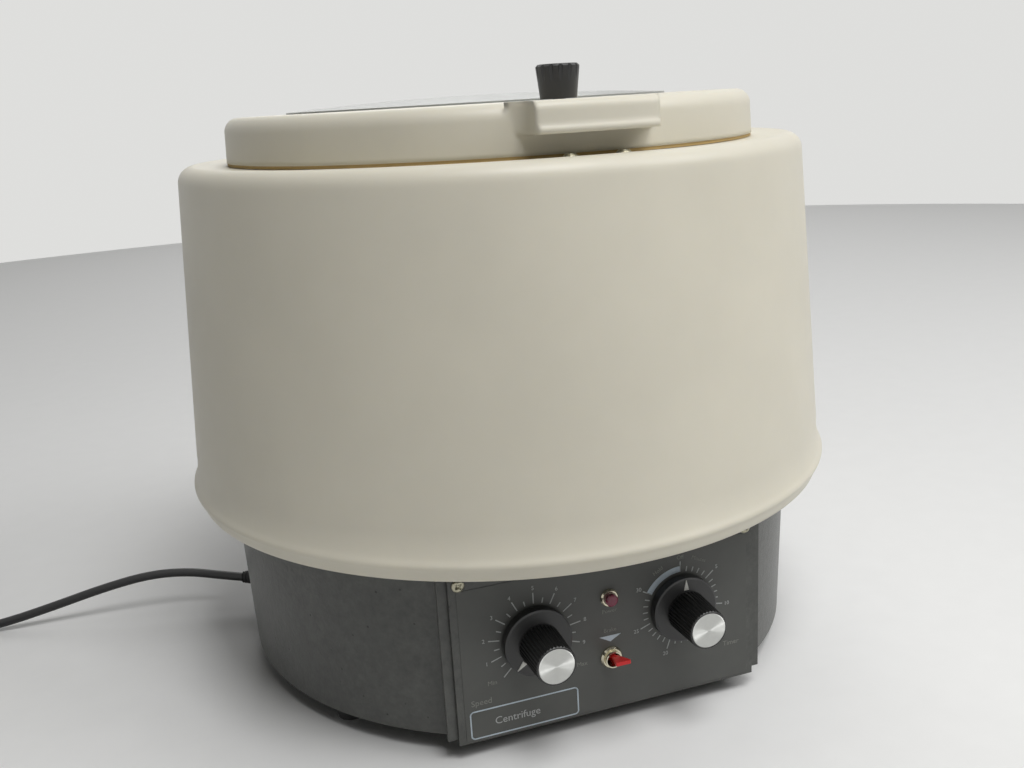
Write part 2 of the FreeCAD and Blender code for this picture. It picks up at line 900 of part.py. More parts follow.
def chamber_bowl():
    """Pressed bowl: straight wall, stepped floor and a raised cone over the motor."""
    wall = s.bowl_wall
    floor = s.deck_level
    step = s.plateau_radius + s.plateau_slope
    corner = rounding(bowl_radius, floor, s.bowl_corner, (-1, 0), (0, 1))
    inner_corner = rounding(bowl_inner, floor + wall, s.bowl_corner - wall, (0, 1), (-1, 0))
    outline = [
        (s.cone_hole_radius, cone_top),
        (s.cone_head_radius, cone_top),
        (s.cone_foot_radius, plateau_level),
        (s.plateau_radius, plateau_level),
        (step, floor),
    ]
    outline += corner
    outline += [(bowl_radius, bowl_top), (bowl_inner, bowl_top)]
    outline += inner_corner
    outline += [
        (step + wall * 0.6, floor + wall),
        (s.plateau_radius + wall * 0.6, plateau_level + wall),
        (s.cone_foot_radius + wall, plateau_level + wall),
        (s.cone_head_radius + wall * 0.7, cone_top + wall),
        (s.cone_hole_radius, cone_top + wall),
    ]
    return turned_piece("chamber_bowl", outline)


def spindle_boot():
    """Rubber boot in the bowl's middle, round the spindle."""
    neck = s.cone_hole_radius - s.seat_gap
    return turned_piece("spindle_boot", [
        (s.boot_bore, boot_seat - s.boot_neck), (neck, boot_seat - s.boot_neck),
        (neck, boot_seat), (s.boot_radius, boot_seat),
        (s.boot_radius - 1.2, boot_seat + s.boot_flange),
        (s.boot_bore, boot_seat + s.boot_flange)])


# Motor

def motor_frame():
    """Motor body with its field case and lower bearing cap."""
    bore = s.spindle_radius + s.spindle_play
    blind = spindle_low - 0.3
    cap = 8.0
    return turned_piece("motor_frame", [
        (0, s.motor_low - cap), (s.motor_radius * 0.45, s.motor_low - cap),
        (s.motor_radius * 0.55, s.motor_low), (s.motor_radius - 3, s.motor_low),
        (s.motor_radius, s.motor_low + 3), (s.motor_radius, motor_flange_top),
        (bore, motor_flange_top), (bore, blind), (0, blind)])


def motor_flange():
    """Steel plate that hangs the motor from its isolators."""
    body = new_body("motor_flange")
    sketch = new_sketch(body, "motor_flange_outline", "XY_Plane", isolator_top)
    draw_circle(sketch, s.motor_flange_radius)
    draw_circle(sketch, s.motor_radius + s.fit_play)
    pad(body, "motor_flange_pad", sketch, s.motor_flange_thickness)
    return body


def motor_isolators():
    """Waisted rubber isolators between deck and motor flange."""
    isolators = []
    waist = s.isolator_radius - 1.6
    middle = s.deck_level + s.isolator_height / 2
    for index in range(ISOLATORS):
        across, along = turned(90 + 360.0 / ISOLATORS * index, s.isolator_circle, 0)
        isolators.append(turned_piece("isolator_%d" % index, [
            (0, s.deck_level), (s.isolator_radius, s.deck_level), Via(waist, middle),
            (s.isolator_radius, isolator_top), (0, isolator_top)], (across, along, 0)))
    return group("motor_isolators", isolators)


def motor_end_bell():
    """Cast upper end bell with the bearing nose."""
    bore = s.spindle_radius + s.spindle_play
    return turned_piece("motor_end_bell", [
        (bore, motor_flange_top), (s.motor_radius - 1, motor_flange_top),
        (s.motor_radius - 1, motor_flange_top + 5),
        (s.end_bell_nose_radius + 2, end_bell_top),
        (s.end_bell_nose_radius, end_bell_top), (s.end_bell_nose_radius, nose_top),
        (bore, nose_top)])


def motor_spindle():
    """Ground spindle with a shoulder under the rotor and a thread above it."""
    shoulder_low = rotor_low - s.spindle_shoulder_height
    thread_low = hub_top - 2
    top = hub_top + s.nut_height - 2
    return turned_piece("motor_spindle", [
        (0, spindle_low), (s.spindle_radius, spindle_low),
        (s.spindle_radius, shoulder_low - 3), (s.spindle_shoulder_radius, shoulder_low),
        (s.spindle_shoulder_radius, rotor_low), (s.spindle_radius, rotor_low),
        (s.spindle_radius, thread_low), (s.spindle_thread_radius, thread_low),
        (s.spindle_thread_radius, top), (0, top)])


# Rotor

def rotor_head():
    """Cast rotor head: hub, web and a fork for each cup, open upwards at its trunnions."""
    body = new_body("rotor_head")
    bore = s.spindle_radius + s.fit_play
    web_low = pivot_level - s.prong_drop
    spin(body, "rotor_hub", [
        (bore, rotor_low), (s.hub_radius - 2, rotor_low),
        (s.hub_radius, rotor_low + 2), (s.hub_radius, web_low), (s.web_radius, web_low),
        (s.web_radius, web_low + s.web_height - 2),
        (s.web_radius - 2, web_low + s.web_height),
        (s.hub_radius, web_low + s.web_height), (s.hub_radius - 3, hub_top), (bore, hub_top)])
    outer_side = s.prong_gap + s.prong_thickness
    tip = s.prong_thickness / 2
    prongs = new_sketch(body, "prong_outline", "XY_Plane", web_low)
    for side in (-1, 1):
        inner = s.prong_gap * side
        outer = outer_side * side
        middle = (s.prong_gap + tip) * side
        draw(prongs, [(s.prong_inner, inner), (prong_outer - tip, inner),
                      Via(prong_outer, middle), (prong_outer - tip, outer),
                      (s.prong_inner, outer)])
    fork = pad(body, "fork", prongs, s.prong_height)
    repeat_round(body, "forks", fork, CUPS)
    seat = s.trunnion_radius + s.trunnion_play
    above = pivot_level + s.prong_height
    notch = new_sketch(body, "notch_outline", "XZ_Plane")
    draw(notch, [(pivot_radius - seat, above), (pivot_radius - seat, pivot_level),
                 Via(pivot_radius, pivot_level - seat),
                 (pivot_radius + seat, pivot_level), (pivot_radius + seat, above)])
    notch_cut = body.newObject("PartDesign::Pocket", "notch")
    notch_cut.Profile = notch
    notch_cut.Type = "Length"
    notch_cut.Midplane = True
    notch_cut.Length = number(outer_side * 2 + 2)
    bind(notch_cut, "Length", outer_side * 2 + 2)
    repeat_round(body, "notches", notch_cut, CUPS)
    return body


def rotor_nut():
    """Domed hexagon nut that clamps the head to the spindle."""
    body = new_body("rotor_nut")
    sketch = new_sketch(body, "nut_outline", "XY_Plane", hub_top)
    corners = []
    for index in range(6):
        corners.append(turned(60 * index, s.nut_radius, 0))
    corners[0] = (s.nut_radius, 0)
    corners[3] = (-s.nut_radius, 0)
    draw(sketch, corners)
    draw_circle(sketch, s.spindle_thread_radius + s.fit_play)
    pad(body, "nut_pad", sketch, s.nut_height)
    crown = new_sketch(body, "nut_crown_outline")
    across_flats = s.nut_radius * math.cos(math.radians(30))
    top = hub_top + s.nut_height
    draw(crown, [(across_flats - 1, top), (s.nut_radius + 1, top),
                 (s.nut_radius + 1, top - 2.5)])
    groove = body.newObject("PartDesign::Groove", "nut_crown")
    groove.Profile = crown
    groove.ReferenceAxis = (crown, ["V_Axis"])
    groove.Angle = 360
    return body


def cup_angle(index):
    """The angle of a cup's fork round the spindle."""
    return 360.0 / CUPS * index


def trunnion_ring(index):
    """Steel ring with two trunnion pins, which carries one cup."""
    name = "trunnion_ring_%d" % (index + 1)
    angle = cup_angle(index)
    across, along = turned(angle, pivot_radius, 0)
    low = pivot_level - s.ring_height / 2
    reach = s.prong_gap + s.prong_thickness + s.trunnion_end
    start = turned(angle, pivot_radius, -reach)
    tangent = FreeCAD.Vector(-math.sin(math.radians(angle)), math.cos(math.radians(angle)), 0)
    ring = rod(name + "_ring", s.ring_radius, (across, along, low), s.ring_height)
    pins = rod(name + "_pins", s.trunnion_radius, (start[0], start[1], pivot_level),
               reach * 2, tangent)
    bore = rod(name + "_bore", s.cup_radius + s.cup_play, (across, along, low), s.ring_height)
    return cut(name, fuse(name + "_body", [ring, pins]), [bore])


def tube_cup(index):
    """Drawn metal cup with a rolled flange and a rounded bottom."""
    across, along = turned(cup_angle(index), pivot_radius, 0)
    inside = s.cup_radius - s.cup_wall
    lip = ring_top + s.cup_flange_height
    outline = [(0, cup_bottom)]
    outline += rounding(s.cup_radius, cup_bottom, s.cup_corner, (-1, 0), (0, 1))
    outline += [(s.cup_radius, ring_top), (s.cup_flange_radius, ring_top),
                (s.cup_flange_radius, lip - 0.6), (s.cup_flange_radius - 0.6, lip),
                (inside, lip)]
    outline += rounding(inside, cup_bottom + s.cup_wall, s.cup_corner - s.cup_wall,
                        (0, 1), (-1, 0))
    outline += [(0, cup_bottom + s.cup_wall)]
    return turned_piece("tube_cup_%d" % (index + 1), outline, (across, along, 0))


# Lid

def flare_at(side):
    """The arc in plan that blends a side of the finger lip into the lid's round wall."""
    flare = s.handle_flare
    wide = s.handle_half_width + flare
    span = lid_side - s.seat_gap * 2 + flare
    depth = root(span * span - wide * wide)
    lean = wide / span
    drop = depth / span
    half_way = root((lean + 1) * (lean + 1) + drop * drop)
    return [
        ((wide - flare * lean) * side, flare * drop - depth),
        Via((wide - flare * (lean + 1) / half_way) * side, flare * drop / half_way - depth),
        (s.handle_half_width * side, -depth),
    ]


def lid():
    """Moulded lid with a rounded edge, a finger lip, a window rabbet and a latch boss."""
    edge = rounding(lid_side, lid_top, s.lid_edge, (0, -1), (-1, 0))
    inner_edge = rounding(lid_side - s.lid_wall, lid_under, s.lid_edge - s.lid_wall,
                          (-1, 0), (0, -1))
    outline = [(lid_radius, lid_bottom)] + edge
    outline += [(0, lid_top), (0, lid_under)] + inner_edge
    outline += [(lid_radius - s.lid_wall, lid_bottom)]
    cover = turned_piece("lid_turning", outline)

    handle_low = lid_top - s.handle_height
    middle_wall = lid_side - s.lid_wall / 2
    bead_top = handle_low + s.bead_height
    lip_edge = rounding(handle_radius, lid_top, s.lid_edge / 2, (0, -1), (-1, 0))
    lip_ring = turned_piece("lip_turning", [
        (middle_wall, lid_top), (middle_wall, handle_low), (handle_radius, handle_low),
        Via(handle_radius + s.bead_depth, handle_low + s.bead_height / 2),
        (handle_radius, bead_top)] + lip_edge)
    front = handle_radius + s.bead_depth
    near = s.handle_half_width
    plan = flare_at(-1)
    plan += rounding(-near, -front, s.handle_corner, (0, 1), (1, 0))
    plan += rounding(near, -front, s.handle_corner, (-1, 0), (0, 1))
    plan += flare_at(1)[::-1]
    lip_plan = plate("lip_plan", plan, handle_low, s.handle_height)
    lip_solid = common("lip_solid", lip_ring, lip_plan)
    hollow_ring = rod("lip_hollow_ring", handle_radius - s.handle_wall,
                      (0, 0, handle_low), s.handle_height - s.handle_wall)
    hollow_half = s.handle_half_width - s.handle_wall
    hollow_plan = box("lip_hollow_plan", (-hollow_half, -front, handle_low),
                      (hollow_half, -opening_radius, lid_top))
    hollow = common("lip_hollow", hollow_ring, hollow_plan)
    lip = cut("finger_lip", lip_solid, [hollow])

    pad_half = s.lid_leaf_half_width + 4
    pad_core = rod("pad_core", middle_wall, (0, 0, lid_bottom), s.lid_height)
    hinge_pad = cut("hinge_pad", box("hinge_pad_box", (-pad_half, opening_radius, lid_bottom),
                                     (pad_half, pad_face, s.lid_leaf_high + 1.0)), [pad_core])
    boss = rod("latch_boss", s.boss_radius, (0, -latch_offset, lid_under - s.boss_height),
               s.boss_height)
    solid = fuse("lid_solid", [cover, lip, hinge_pad, boss])

    tools = [
        rod("window_rabbet", window_radius + s.seat_gap, (0, s.window_offset, rabbet_level),
            s.rabbet_depth),
        rod("window_hole", window_radius - s.window_seat, (0, s.window_offset, lid_under),
            s.lid_wall),
        rod("latch_hole", s.latch_shaft_radius + s.latch_play,
            (0, -latch_offset, lid_under - s.boss_height), s.lid_wall + s.boss_height),
    ]
    for side in (-1, 1):
        tools.append(rod("lid_leaf_hole_%d" % side, s.hinge_screw_radius + s.screw_play,
                         (s.lid_leaf_screw_across * side, pad_face, s.lid_leaf_screw_level),
                         s.lid_wall * 4, FORWARD))
    return cut("lid", solid, tools)


def lid_window():
    """Clear domed window in the lid."""
    top = rabbet_level + s.window_thickness
    half = window_radius / 2
    rise = s.window_rise
    dome = (window_radius * window_radius + rise * rise) / (rise * 2)
    half_rise = root(dome * dome - half * half) - dome + rise
    return turned_piece("lid_window", [
        (window_radius, rabbet_level), (window_radius, top), Via(half, top + half_rise),
        (0, top + rise), (0, rabbet_level + rise), Via(half, rabbet_level + half_rise)],
        (0, s.window_offset, 0))


def lid_gasket():
    """Soft ring under the lid's wall."""
    outer = lid_radius - (s.lid_wall - s.gasket_width) / 2
    low = recess_level + s.seat_gap
    return turned_piece("lid_gasket", [
        (outer - s.gasket_width, low), (outer, low), (outer, lid_bottom),
        (outer - s.gasket_width, lid_bottom)])


# Hinge

def knuckle(name, start, end):
    """A stretch of knuckle along X, without its bore."""
    return rod(name, s.knuckle_radius, (start, hinge_offset, s.hinge_level),
               end - start, SIDEWAYS)


def hinge_base_leaf():
    """Leaf on the case with the two outer knuckles."""
    inner = s.centre_knuckle_half + s.knuckle_play
    leaf_top = recess_level + s.leaf_thickness
    leaf_inner = hinge_offset - s.knuckle_radius
    leaf = box("base_leaf_plate", (-s.leaf_half_width, leaf_inner, recess_level),
               (s.leaf_half_width, leaf_outer, leaf_top))
    pieces = [leaf]
    for side, start in (("left", -s.knuckle_half_width), ("right", inner)):
        end = start + s.knuckle_half_width - inner
        pieces.append(knuckle("base_knuckle_" + side, start, end))
        pieces.append(box("base_web_" + side,
                          (start, hinge_offset - 2, recess_level),
                          (end, hinge_offset + 2, s.hinge_level)))
    tools = [rod("base_pin_bore", pin_bore,
                 (-s.knuckle_half_width, hinge_offset, s.hinge_level),
                 s.knuckle_half_width * 2, SIDEWAYS)]
    for side in (-1, 1):
        tools.append(rod("base_leaf_hole_%d" % side, s.hinge_screw_radius + s.screw_play,
                         (s.leaf_screw_across * side, hinge_offset, recess_level),
                         s.leaf_thickness))
    return cut("hinge_base_leaf", fuse("base_leaf_solid", pieces), tools)


def hinge_lid_leaf():
    """Leaf on the lid with the centre knuckle."""
    half = s.centre_knuckle_half
    leaf_back = pad_face + s.leaf_thickness
    leaf = box("lid_leaf_plate", (-s.lid_leaf_half_width, pad_face, s.hinge_level - 2),
               (s.lid_leaf_half_width, leaf_back, s.lid_leaf_high))
    web = box("lid_leaf_web", (-half, pad_face, s.hinge_level - 2),
              (half, hinge_offset, s.hinge_level + 2))
    solid = fuse("lid_leaf_solid", [leaf, knuckle("lid_knuckle", -half, half), web])
    tools = [rod("lid_pin_bore", pin_bore, (-half, hinge_offset, s.hinge_level),
                 half * 2, SIDEWAYS)]
    for side in (-1, 1):
        tools.append(rod("lid_leaf_bore_%d" % side, s.hinge_screw_radius + s.screw_play,
                         (s.lid_leaf_screw_across * side, leaf_back, s.lid_leaf_screw_level),
                         s.leaf_thickness, FORWARD))
    return cut("hinge_lid_leaf", solid, tools)


def hinge_pin():
    """Pin through the three knuckles, with a small head at one end."""
    half = s.knuckle_half_width
    return turned_piece("hinge_pin", [
        (0, 0), (s.hinge_pin_radius + 1, 0), (s.hinge_pin_radius + 1, 1.2),
        (s.hinge_pin_radius, 1.2), (s.hinge_pin_radius, half * 2 + 2.2), (0, half * 2 + 2.2)],
        (-half - 1.2, hinge_offset, s.hinge_level), SIDEWAYS)


def pan_screw(name, head, head_height, radius, length, at, direction):
    """A pan-head screw whose head stands on a face and whose shank goes in, away from it."""
    return turned_piece(name, [
        (0, 0), (radius, 0), (radius, length), (head, length),
        (head, length + head_height * 0.5), (head * 0.72, length + head_height),
        (0, length + head_height)], at, direction)


def hinge_base_screws():
    """Screws of the leaf on the case."""
    leaf_top = recess_level + s.leaf_thickness
    length = s.leaf_thickness + s.shell_wall + 1
    return group("hinge_base_screws", [
        pan_screw("base_screw_%d" % side, s.hinge_screw_head, s.hinge_screw_head_height,
                  s.hinge_screw_radius, length,
                  (s.leaf_screw_across * side, hinge_offset, leaf_top - length), UP)
        for side in (-1, 1)])


def hinge_lid_screws():
    """Screws of the leaf on the lid."""
    leaf_back = pad_face + s.leaf_thickness
    length = s.leaf_thickness + s.lid_wall * 2
    return group("hinge_lid_screws", [
        pan_screw("lid_screw_%d" % side, s.hinge_screw_head, s.hinge_screw_head_height,
                  s.hinge_screw_radius, length,
                  (s.lid_leaf_screw_across * side, leaf_back - length, s.lid_leaf_screw_level),
                  BACKWARD)
        for side in (-1, 1)])


# Latch

def latch_knob():
    """Fluted knob that widens to a chamfered top."""
    body = new_body("latch_knob")
    height = s.latch_knob_height
    bore = s.latch_shaft_radius + s.fit_play
    depth = height * 0.65
    rim = height - s.latch_knob_chamfer
    spin(body, "latch_knob_turning", [
        (bore, 0), (s.latch_knob_base, 0), (s.latch_knob_wide, rim),
        (s.latch_knob_wide - s.latch_knob_chamfer, height), (0, height), (0, depth),
        (bore, depth)])
    flute_at = s.latch_knob_wide + s.latch_flute_radius * 0.35
    sketch = new_sketch(body, "latch_flute_outline", "XY_Plane")
    draw_circle(sketch, s.latch_flute_radius, flute_at, 0)
    flute = pocket(body, "latch_flute", sketch)
    repeat_round(body, "latch_flutes", flute, LATCH_FLUTES)
    return place(body, (0, -latch_offset, lid_top + s.seat_gap))


def latch_shaft():
    """Shaft with a collar under the lid's boss and a riveted end under the tongue."""
    collar_top = lid_under - s.boss_height - s.seat_gap
    top = lid_top + s.seat_gap + s.latch_knob_height * 0.6
    radius = s.latch_shaft_radius
    rivet = radius + 1.8
    return turned_piece("latch_shaft", [
        (0, tongue_low - 1.5), (rivet, tongue_low - 1.5), (rivet, tongue_low),
        (radius, tongue_low), (radius, tongue_top), (s.latch_collar_radius, tongue_top),
        (s.latch_collar_radius, collar_top), (radius, collar_top), (radius, top), (0, top)],
        (0, -latch_offset, 0))


def latch_tongue():
    """Tongue that turns under the catch; at rest it lies beside it."""
    half = s.tongue_half_width
    body = plate("latch_tongue", [
        (0, -half), (s.tongue_length - half, -half), Via(s.tongue_length, 0),
        (s.tongue_length - half, half), (0, half), Via(-half, 0)],
        tongue_low, s.tongue_thickness, [(s.latch_shaft_radius + s.fit_play, 0, 0)])
    return place(body, (0, -latch_offset, 0))


def catch_plate():
    """Strike plate screwed under the case's top."""
    half = s.catch_half_width
    holes = [(s.catch_screw_radius + s.screw_play, s.catch_screw_across * side,
              -catch_screw_along) for side in (-1, 1)]
    return plate("catch_plate", [
        (-half, -catch_outer), (half, -catch_outer), (half, -catch_inner),
        (-half, -catch_inner)], catch_under, s.catch_thickness, holes)


def catch_screws():
    """Bright screws of the catch, with their heads on the case's top."""
    length = s.shell_wall + s.catch_thickness + 1
    return group("catch_screws", [
        pan_screw("catch_screw_%d" % side, s.catch_screw_head, s.catch_screw_head_height,
                  s.catch_screw_radius, length,
                  (s.catch_screw_across * side, -catch_screw_along, recess_level - length),
                  UP)
        for side in (-1, 1)])


# Control panel

def control_places():
    """The speed and timer controls' places across the panel."""
    return (("speed", -s.control_across), ("timer", s.control_across))


def upright_plate(name, half_width, low, high, face, thickness, holes):
    """A sheet that faces -Y, with round holes given as (radius, x, z)."""
    sheet = box(name + "_sheet", (-half_width, -face, low), (half_width, thickness - face, high))
    tools = [rod("%s_hole_%d" % (name, index), radius, (across, thickness - face, level),
                 thickness, FORWARD)
             for index, (radius, across, level) in enumerate(holes)]
    return cut(name, sheet, tools)


def panel_holes():
    """Holes that panel and overlay share."""
    bush = s.bush_radius + s.screw_play
    holes = [(bush, across, s.control_level) for _, across in control_places()]
    holes.append((s.lamp_radius + s.screw_play, 0, s.lamp_level))
    holes.append((s.toggle_bush_radius + s.screw_play, 0, s.toggle_level))
    return holes


def control_panel():
    """Painted sheet that closes the front of the base."""
    holes = panel_holes()
    for side in (-1, 1):
        holes.append((s.panel_screw_radius + s.screw_play, panel_screw_across * side,
                      s.panel_screw_level))
    return upright_plate("control_panel", panel_half_width, s.panel_low, s.panel_high,
                         sheet_face, s.panel_thickness, holes)


def panel_overlay():
    """Printed face sheet inset from the panel's edges."""
    half = panel_half_width - s.overlay_margin
    return upright_plate("panel_overlay", half, s.overlay_low, s.overlay_high,
                         panel_face, s.overlay_thickness, panel_holes())


def panel_screws():
    """Cross-head screws in the panel's upper corners."""
    length = s.panel_thickness + s.drum_wall + 4
    return group("panel_screws", [
        pan_screw("panel_screw_%d" % side, s.panel_screw_head, 1.8, s.panel_screw_radius, length,
                  (panel_screw_across * side, length - sheet_face, s.panel_screw_level),
                  FORWARD)
        for side in (-1, 1)])


def bushing(name, across):
    """Threaded bush and nut of a control, with the bore for its shaft."""
    nut_front = panel_face + s.bush_nut_height
    back = bay_face
    bush = rod(name + "_bush", s.bush_radius, (across, -back, s.control_level),
               nut_front - back + 1.0, FORWARD)
    nut = rod(name + "_nut", s.bush_nut_radius, (across, -panel_face, s.control_level),
              s.bush_nut_height, FORWARD)
    return [bush, nut]


def control_bore(name, across, depth):
    """The bore in which a control's shaft turns."""
    back = bay_face - depth
    return rod(name + "_bore", s.control_shaft_radius + s.spindle_play,
               (across, -back, s.control_level), depth + s.skirt_front, FORWARD)


def speed_control():
    """Speed potentiometer behind the panel."""
    across = -s.control_across
    case_face = bay_face
    case = rod("speed_case", s.speed_control_radius,
               (across, s.speed_control_depth - case_face, s.control_level),
               s.speed_control_depth, FORWARD)
    solid = fuse("speed_solid", [case] + bushing("speed", across))
    return cut("speed_control", solid, [control_bore("speed", across, s.bush_nut_height * 4)])


def timer_movement():
    """Clockwork timer behind the panel."""
    across = s.control_across
    half = s.timer_side / 2
    case = box("timer_case", (across - half, -bay_face, s.control_level - half),
               (across + half, s.timer_depth - bay_face, s.control_level + half))
    solid = fuse("timer_solid", [case] + bushing("timer", across))
    return cut("timer_movement", solid, [control_bore("timer", across, s.bush_nut_height * 4)])


def control_shaft(name, across):
    """Steel shaft from a control into its knob."""
    depth = s.bush_nut_height * 4 - s.seat_gap
    front = panel_face + s.control_shaft_reach
    back = bay_face - depth
    return rod(name, s.control_shaft_radius, (across, -back, s.control_level),
               front - back, FORWARD)


def control_knob(name, across):
    """Skirted, fluted knob with a recess for its metal face."""
    body = new_body(name)
    bore = s.control_shaft_radius + s.fit_play
    reach = s.control_shaft_reach + s.seat_gap
    front = s.knob_front
    seat = front - s.inlay_thickness
    nut_room = s.bush_nut_radius + 1.0
    nut_top = s.bush_nut_height + 1.6
    spin(body, name + "_turning", [
        (nut_room, s.skirt_gap), (s.skirt_radius - 0.4, s.skirt_gap),
        (s.skirt_radius, s.skirt_gap + 0.4), (s.skirt_radius - 0.2, s.skirt_front - 1.2),
        (s.skirt_radius - 1.2, s.skirt_front - 0.6), (s.knob_base_radius, s.skirt_front),
        (s.knob_tip_radius, front - 0.5), (s.knob_tip_radius - 0.5, front),
        (s.inlay_radius + s.fit_play, front), (s.inlay_radius + s.fit_play, seat), (0, seat),
        (0, reach), (bore, reach), (bore, nut_top), (nut_room, nut_top)])
    sketch = new_sketch(body, name + "_flute_outline", "XY_Plane", s.skirt_front + 1.0)
    draw_circle(sketch, s.knob_flute_radius, (s.knob_base_radius + s.knob_tip_radius) / 2, 0)
    flute = pocket(body, name + "_flute", sketch)
    repeat_round(body, name + "_flutes", flute, KNOB_FLUTES)
    return place(body, (across, -panel_face, s.control_level), FORWARD)


def knob_inlay(name, across):
    """Spun metal face of a knob."""
    thickness = s.inlay_thickness
    return turned_piece(name, [
        (0, 0), (s.inlay_radius, 0), (s.inlay_radius, thickness),
        (s.inlay_radius - 0.4, thickness + 0.2), (0, thickness + 0.2)],
        (across, thickness - panel_face - s.knob_front, s.control_level), FORWARD)


def lamp_body():
    """Lamp holder through the panel."""
    return rod("lamp_body", s.lamp_radius, (0, s.lamp_depth - panel_face, s.lamp_level),
               s.lamp_depth, FORWARD)


def lamp_bezel():
    """Bright ring round the lamp."""
    inside = s.lamp_lens_radius + 0.1
    height = s.lamp_bezel_height
    return turned_piece("lamp_bezel", [
        (inside, 0), (s.lamp_bezel_radius, 0), (s.lamp_bezel_radius, height * 0.5),
        (s.lamp_bezel_radius - 0.7, height), (inside, height)],
        (0, -panel_face, s.lamp_level), FORWARD)


def lamp_lens():
    """Red lens that stands out of the bezel."""
    front = s.lamp_lens_front
    return turned_piece("lamp_lens", [
        (0, 0), (s.lamp_lens_radius, 0), (s.lamp_lens_radius - 0.2, front - 0.6),
        (s.lamp_lens_radius - 0.9, front), (0, front)],
        (0, -panel_face, s.lamp_level), FORWARD)


def toggle_switch():
    """Toggle switch case with its threaded bush, flared at the mouth."""
    half = s.toggle_case_half_width
    rise = s.toggle_case_half_height
    depth = s.toggle_case_depth
    pivot = panel_face - s.toggle_pivot_depth
    mouth = panel_face + s.toggle_bush_front
    case = box("toggle_case", (-half, -bay_face, s.toggle_level - rise),
               (half, depth - bay_face, s.toggle_level + rise))
    bush = rod("toggle_bush", s.toggle_bush_radius, (0, -bay_face, s.toggle_level),
               mouth - bay_face, FORWARD)
    socket_back = s.toggle_barrel_radius + s.seat_gap
    straight = rod("toggle_bore", s.toggle_bore_radius,
                   (0, socket_back - pivot, s.toggle_level), socket_back + 3, FORWARD)
    flare = cone("toggle_flare", s.toggle_bore_radius, s.toggle_mouth_radius,
                 (0, -pivot - 3, s.toggle_level), mouth - pivot - 3, FORWARD)
    return cut("toggle_switch", fuse("toggle_solid", [case, bush]), [straight, flare])


def toggle_nut():
    """Round dress nut of the toggle."""
    inside = s.toggle_bush_radius + s.fit_play
    height = s.toggle_nut_height
    return turned_piece("toggle_nut", [
        (inside, 0), (s.toggle_nut_radius, 0), (s.toggle_nut_radius, height * 0.55),
        (s.toggle_nut_radius - 0.8, height), (inside, height)],
        (0, -panel_face, s.toggle_level), FORWARD)


def toggle_lever():
    """Lever with a flat tab that widens to its tip, tipped up at rest."""
    pivot = panel_face - s.toggle_pivot_depth
    reach = s.toggle_reach + s.toggle_pivot_depth
    root = s.toggle_pivot_depth + s.toggle_bush_front + 1.0
    angle = SIZES["toggle_angle"]
    direction = FreeCAD.Vector(
        0, -math.cos(math.radians(angle)), math.sin(math.radians(angle)))
    centre = (0, -pivot, s.toggle_level)
    stalk = rod("toggle_stalk", s.toggle_stalk_radius, centre, root + 2, direction)
    barrel = rod("toggle_barrel", s.toggle_barrel_radius,
                 (-s.toggle_barrel_half, -pivot, s.toggle_level),
                 s.toggle_barrel_half * 2, SIDEWAYS)
    tab = new_body("toggle_tab")
    half = s.toggle_tab_thickness / 2
    sketch = new_sketch(tab, "toggle_tab_outline", "XY_Plane", -half)
    narrow = s.toggle_tab_root / 2
    wide = s.toggle_tab_width / 2
    draw(sketch, [(-narrow, -root), (narrow, -root), (wide, 0.6 - reach),
                  (wide - 0.6, -reach), (0.6 - wide, -reach), (-wide, 0.6 - reach)])
    pad(tab, "toggle_tab_pad", sketch, s.toggle_tab_thickness)
    tab.Placement = FreeCAD.Placement(
        FreeCAD.Vector(0, -number(pivot), number(s.toggle_level)),
        FreeCAD.Rotation(SIDEWAYS, -angle))
    bind(tab, "Placement.Base.y", -pivot)
    bind(tab, "Placement.Base.z", s.toggle_level)
    return fuse("toggle_lever", [stalk, barrel, tab])


# Speed control board

def control_board():
    """Board of the speed control on four standoffs, with its capacitor and heat sink."""
    low = plate_top + s.standoff_height
    top = low + s.board_thickness
    length = s.board_half_length
    width = s.board_half_width
    pieces = [box("board_sheet", (board_centre - length, -width, low),
                  (board_centre + length, width, top))]
    inset = s.standoff_radius + 1
    for index, (across, along) in enumerate(((-1, -1), (-1, 1), (1, -1), (1, 1))):
        pieces.append(rod("standoff_%d" % index, s.standoff_radius,
                          (board_centre + (length - inset) * across, (width - inset) * along,
                           plate_top), s.standoff_height))
    half = length / 2
    pieces.append(rod("board_capacitor", s.capacitor_radius,
                      (board_centre + half, width / 3, top), s.capacitor_height))
    pieces.append(box("board_heat_sink", (board_centre - half * 1.4, width * -0.65, top),
                      (board_centre - half * 0.4, width * 0.4, top + s.heat_sink_height)))
    pieces.append(box("board_triac", (board_centre + half * 0.3, width * -0.7, top),
                      (board_centre + half * 1.2, width * -0.35, top + s.triac_height)))
    return fuse("control_board", pieces)


# Mains lead

# Route of the lead from its strain relief to the coil, and from the coil to the plug.
LEAD_ROUTE = [
    (-206.0, 91.9, 24.0),
    (-228.0, 99.5, 28.0),
    (-256.0, 105.5, 28.5),
    (-290.0, 110.0, 22.5),
    (-326.0, 114.5, 13.5),
    (-362.0, 119.0, 5.6),
    (-396.0, 121.5, 3.4),
    (-428.0, 122.8, 3.2),
]
COIL_CENTRE = (-428.0, 79.6)
TAIL_ROUTE = [
    (-393.6, 109.0, 10.2),
    (-407.5, 123.6, 10.8),
    (-432.5, 130.9, 8.8),
    (-457.8, 122.2, 5.4),
    (-475.6, 101.8, 3.6),
    (-480.4, 76.9, 3.2),
    (-474.8, 52.6, 3.2),
    (-461.2, 31.4, 5.6),
    (-440.8, 16.3, 10.5),
]
PLUG_START = (-421.0, 13.5)
PLUG_DIRECTION = FreeCAD.Vector(1, -0.14, 0).normalize()


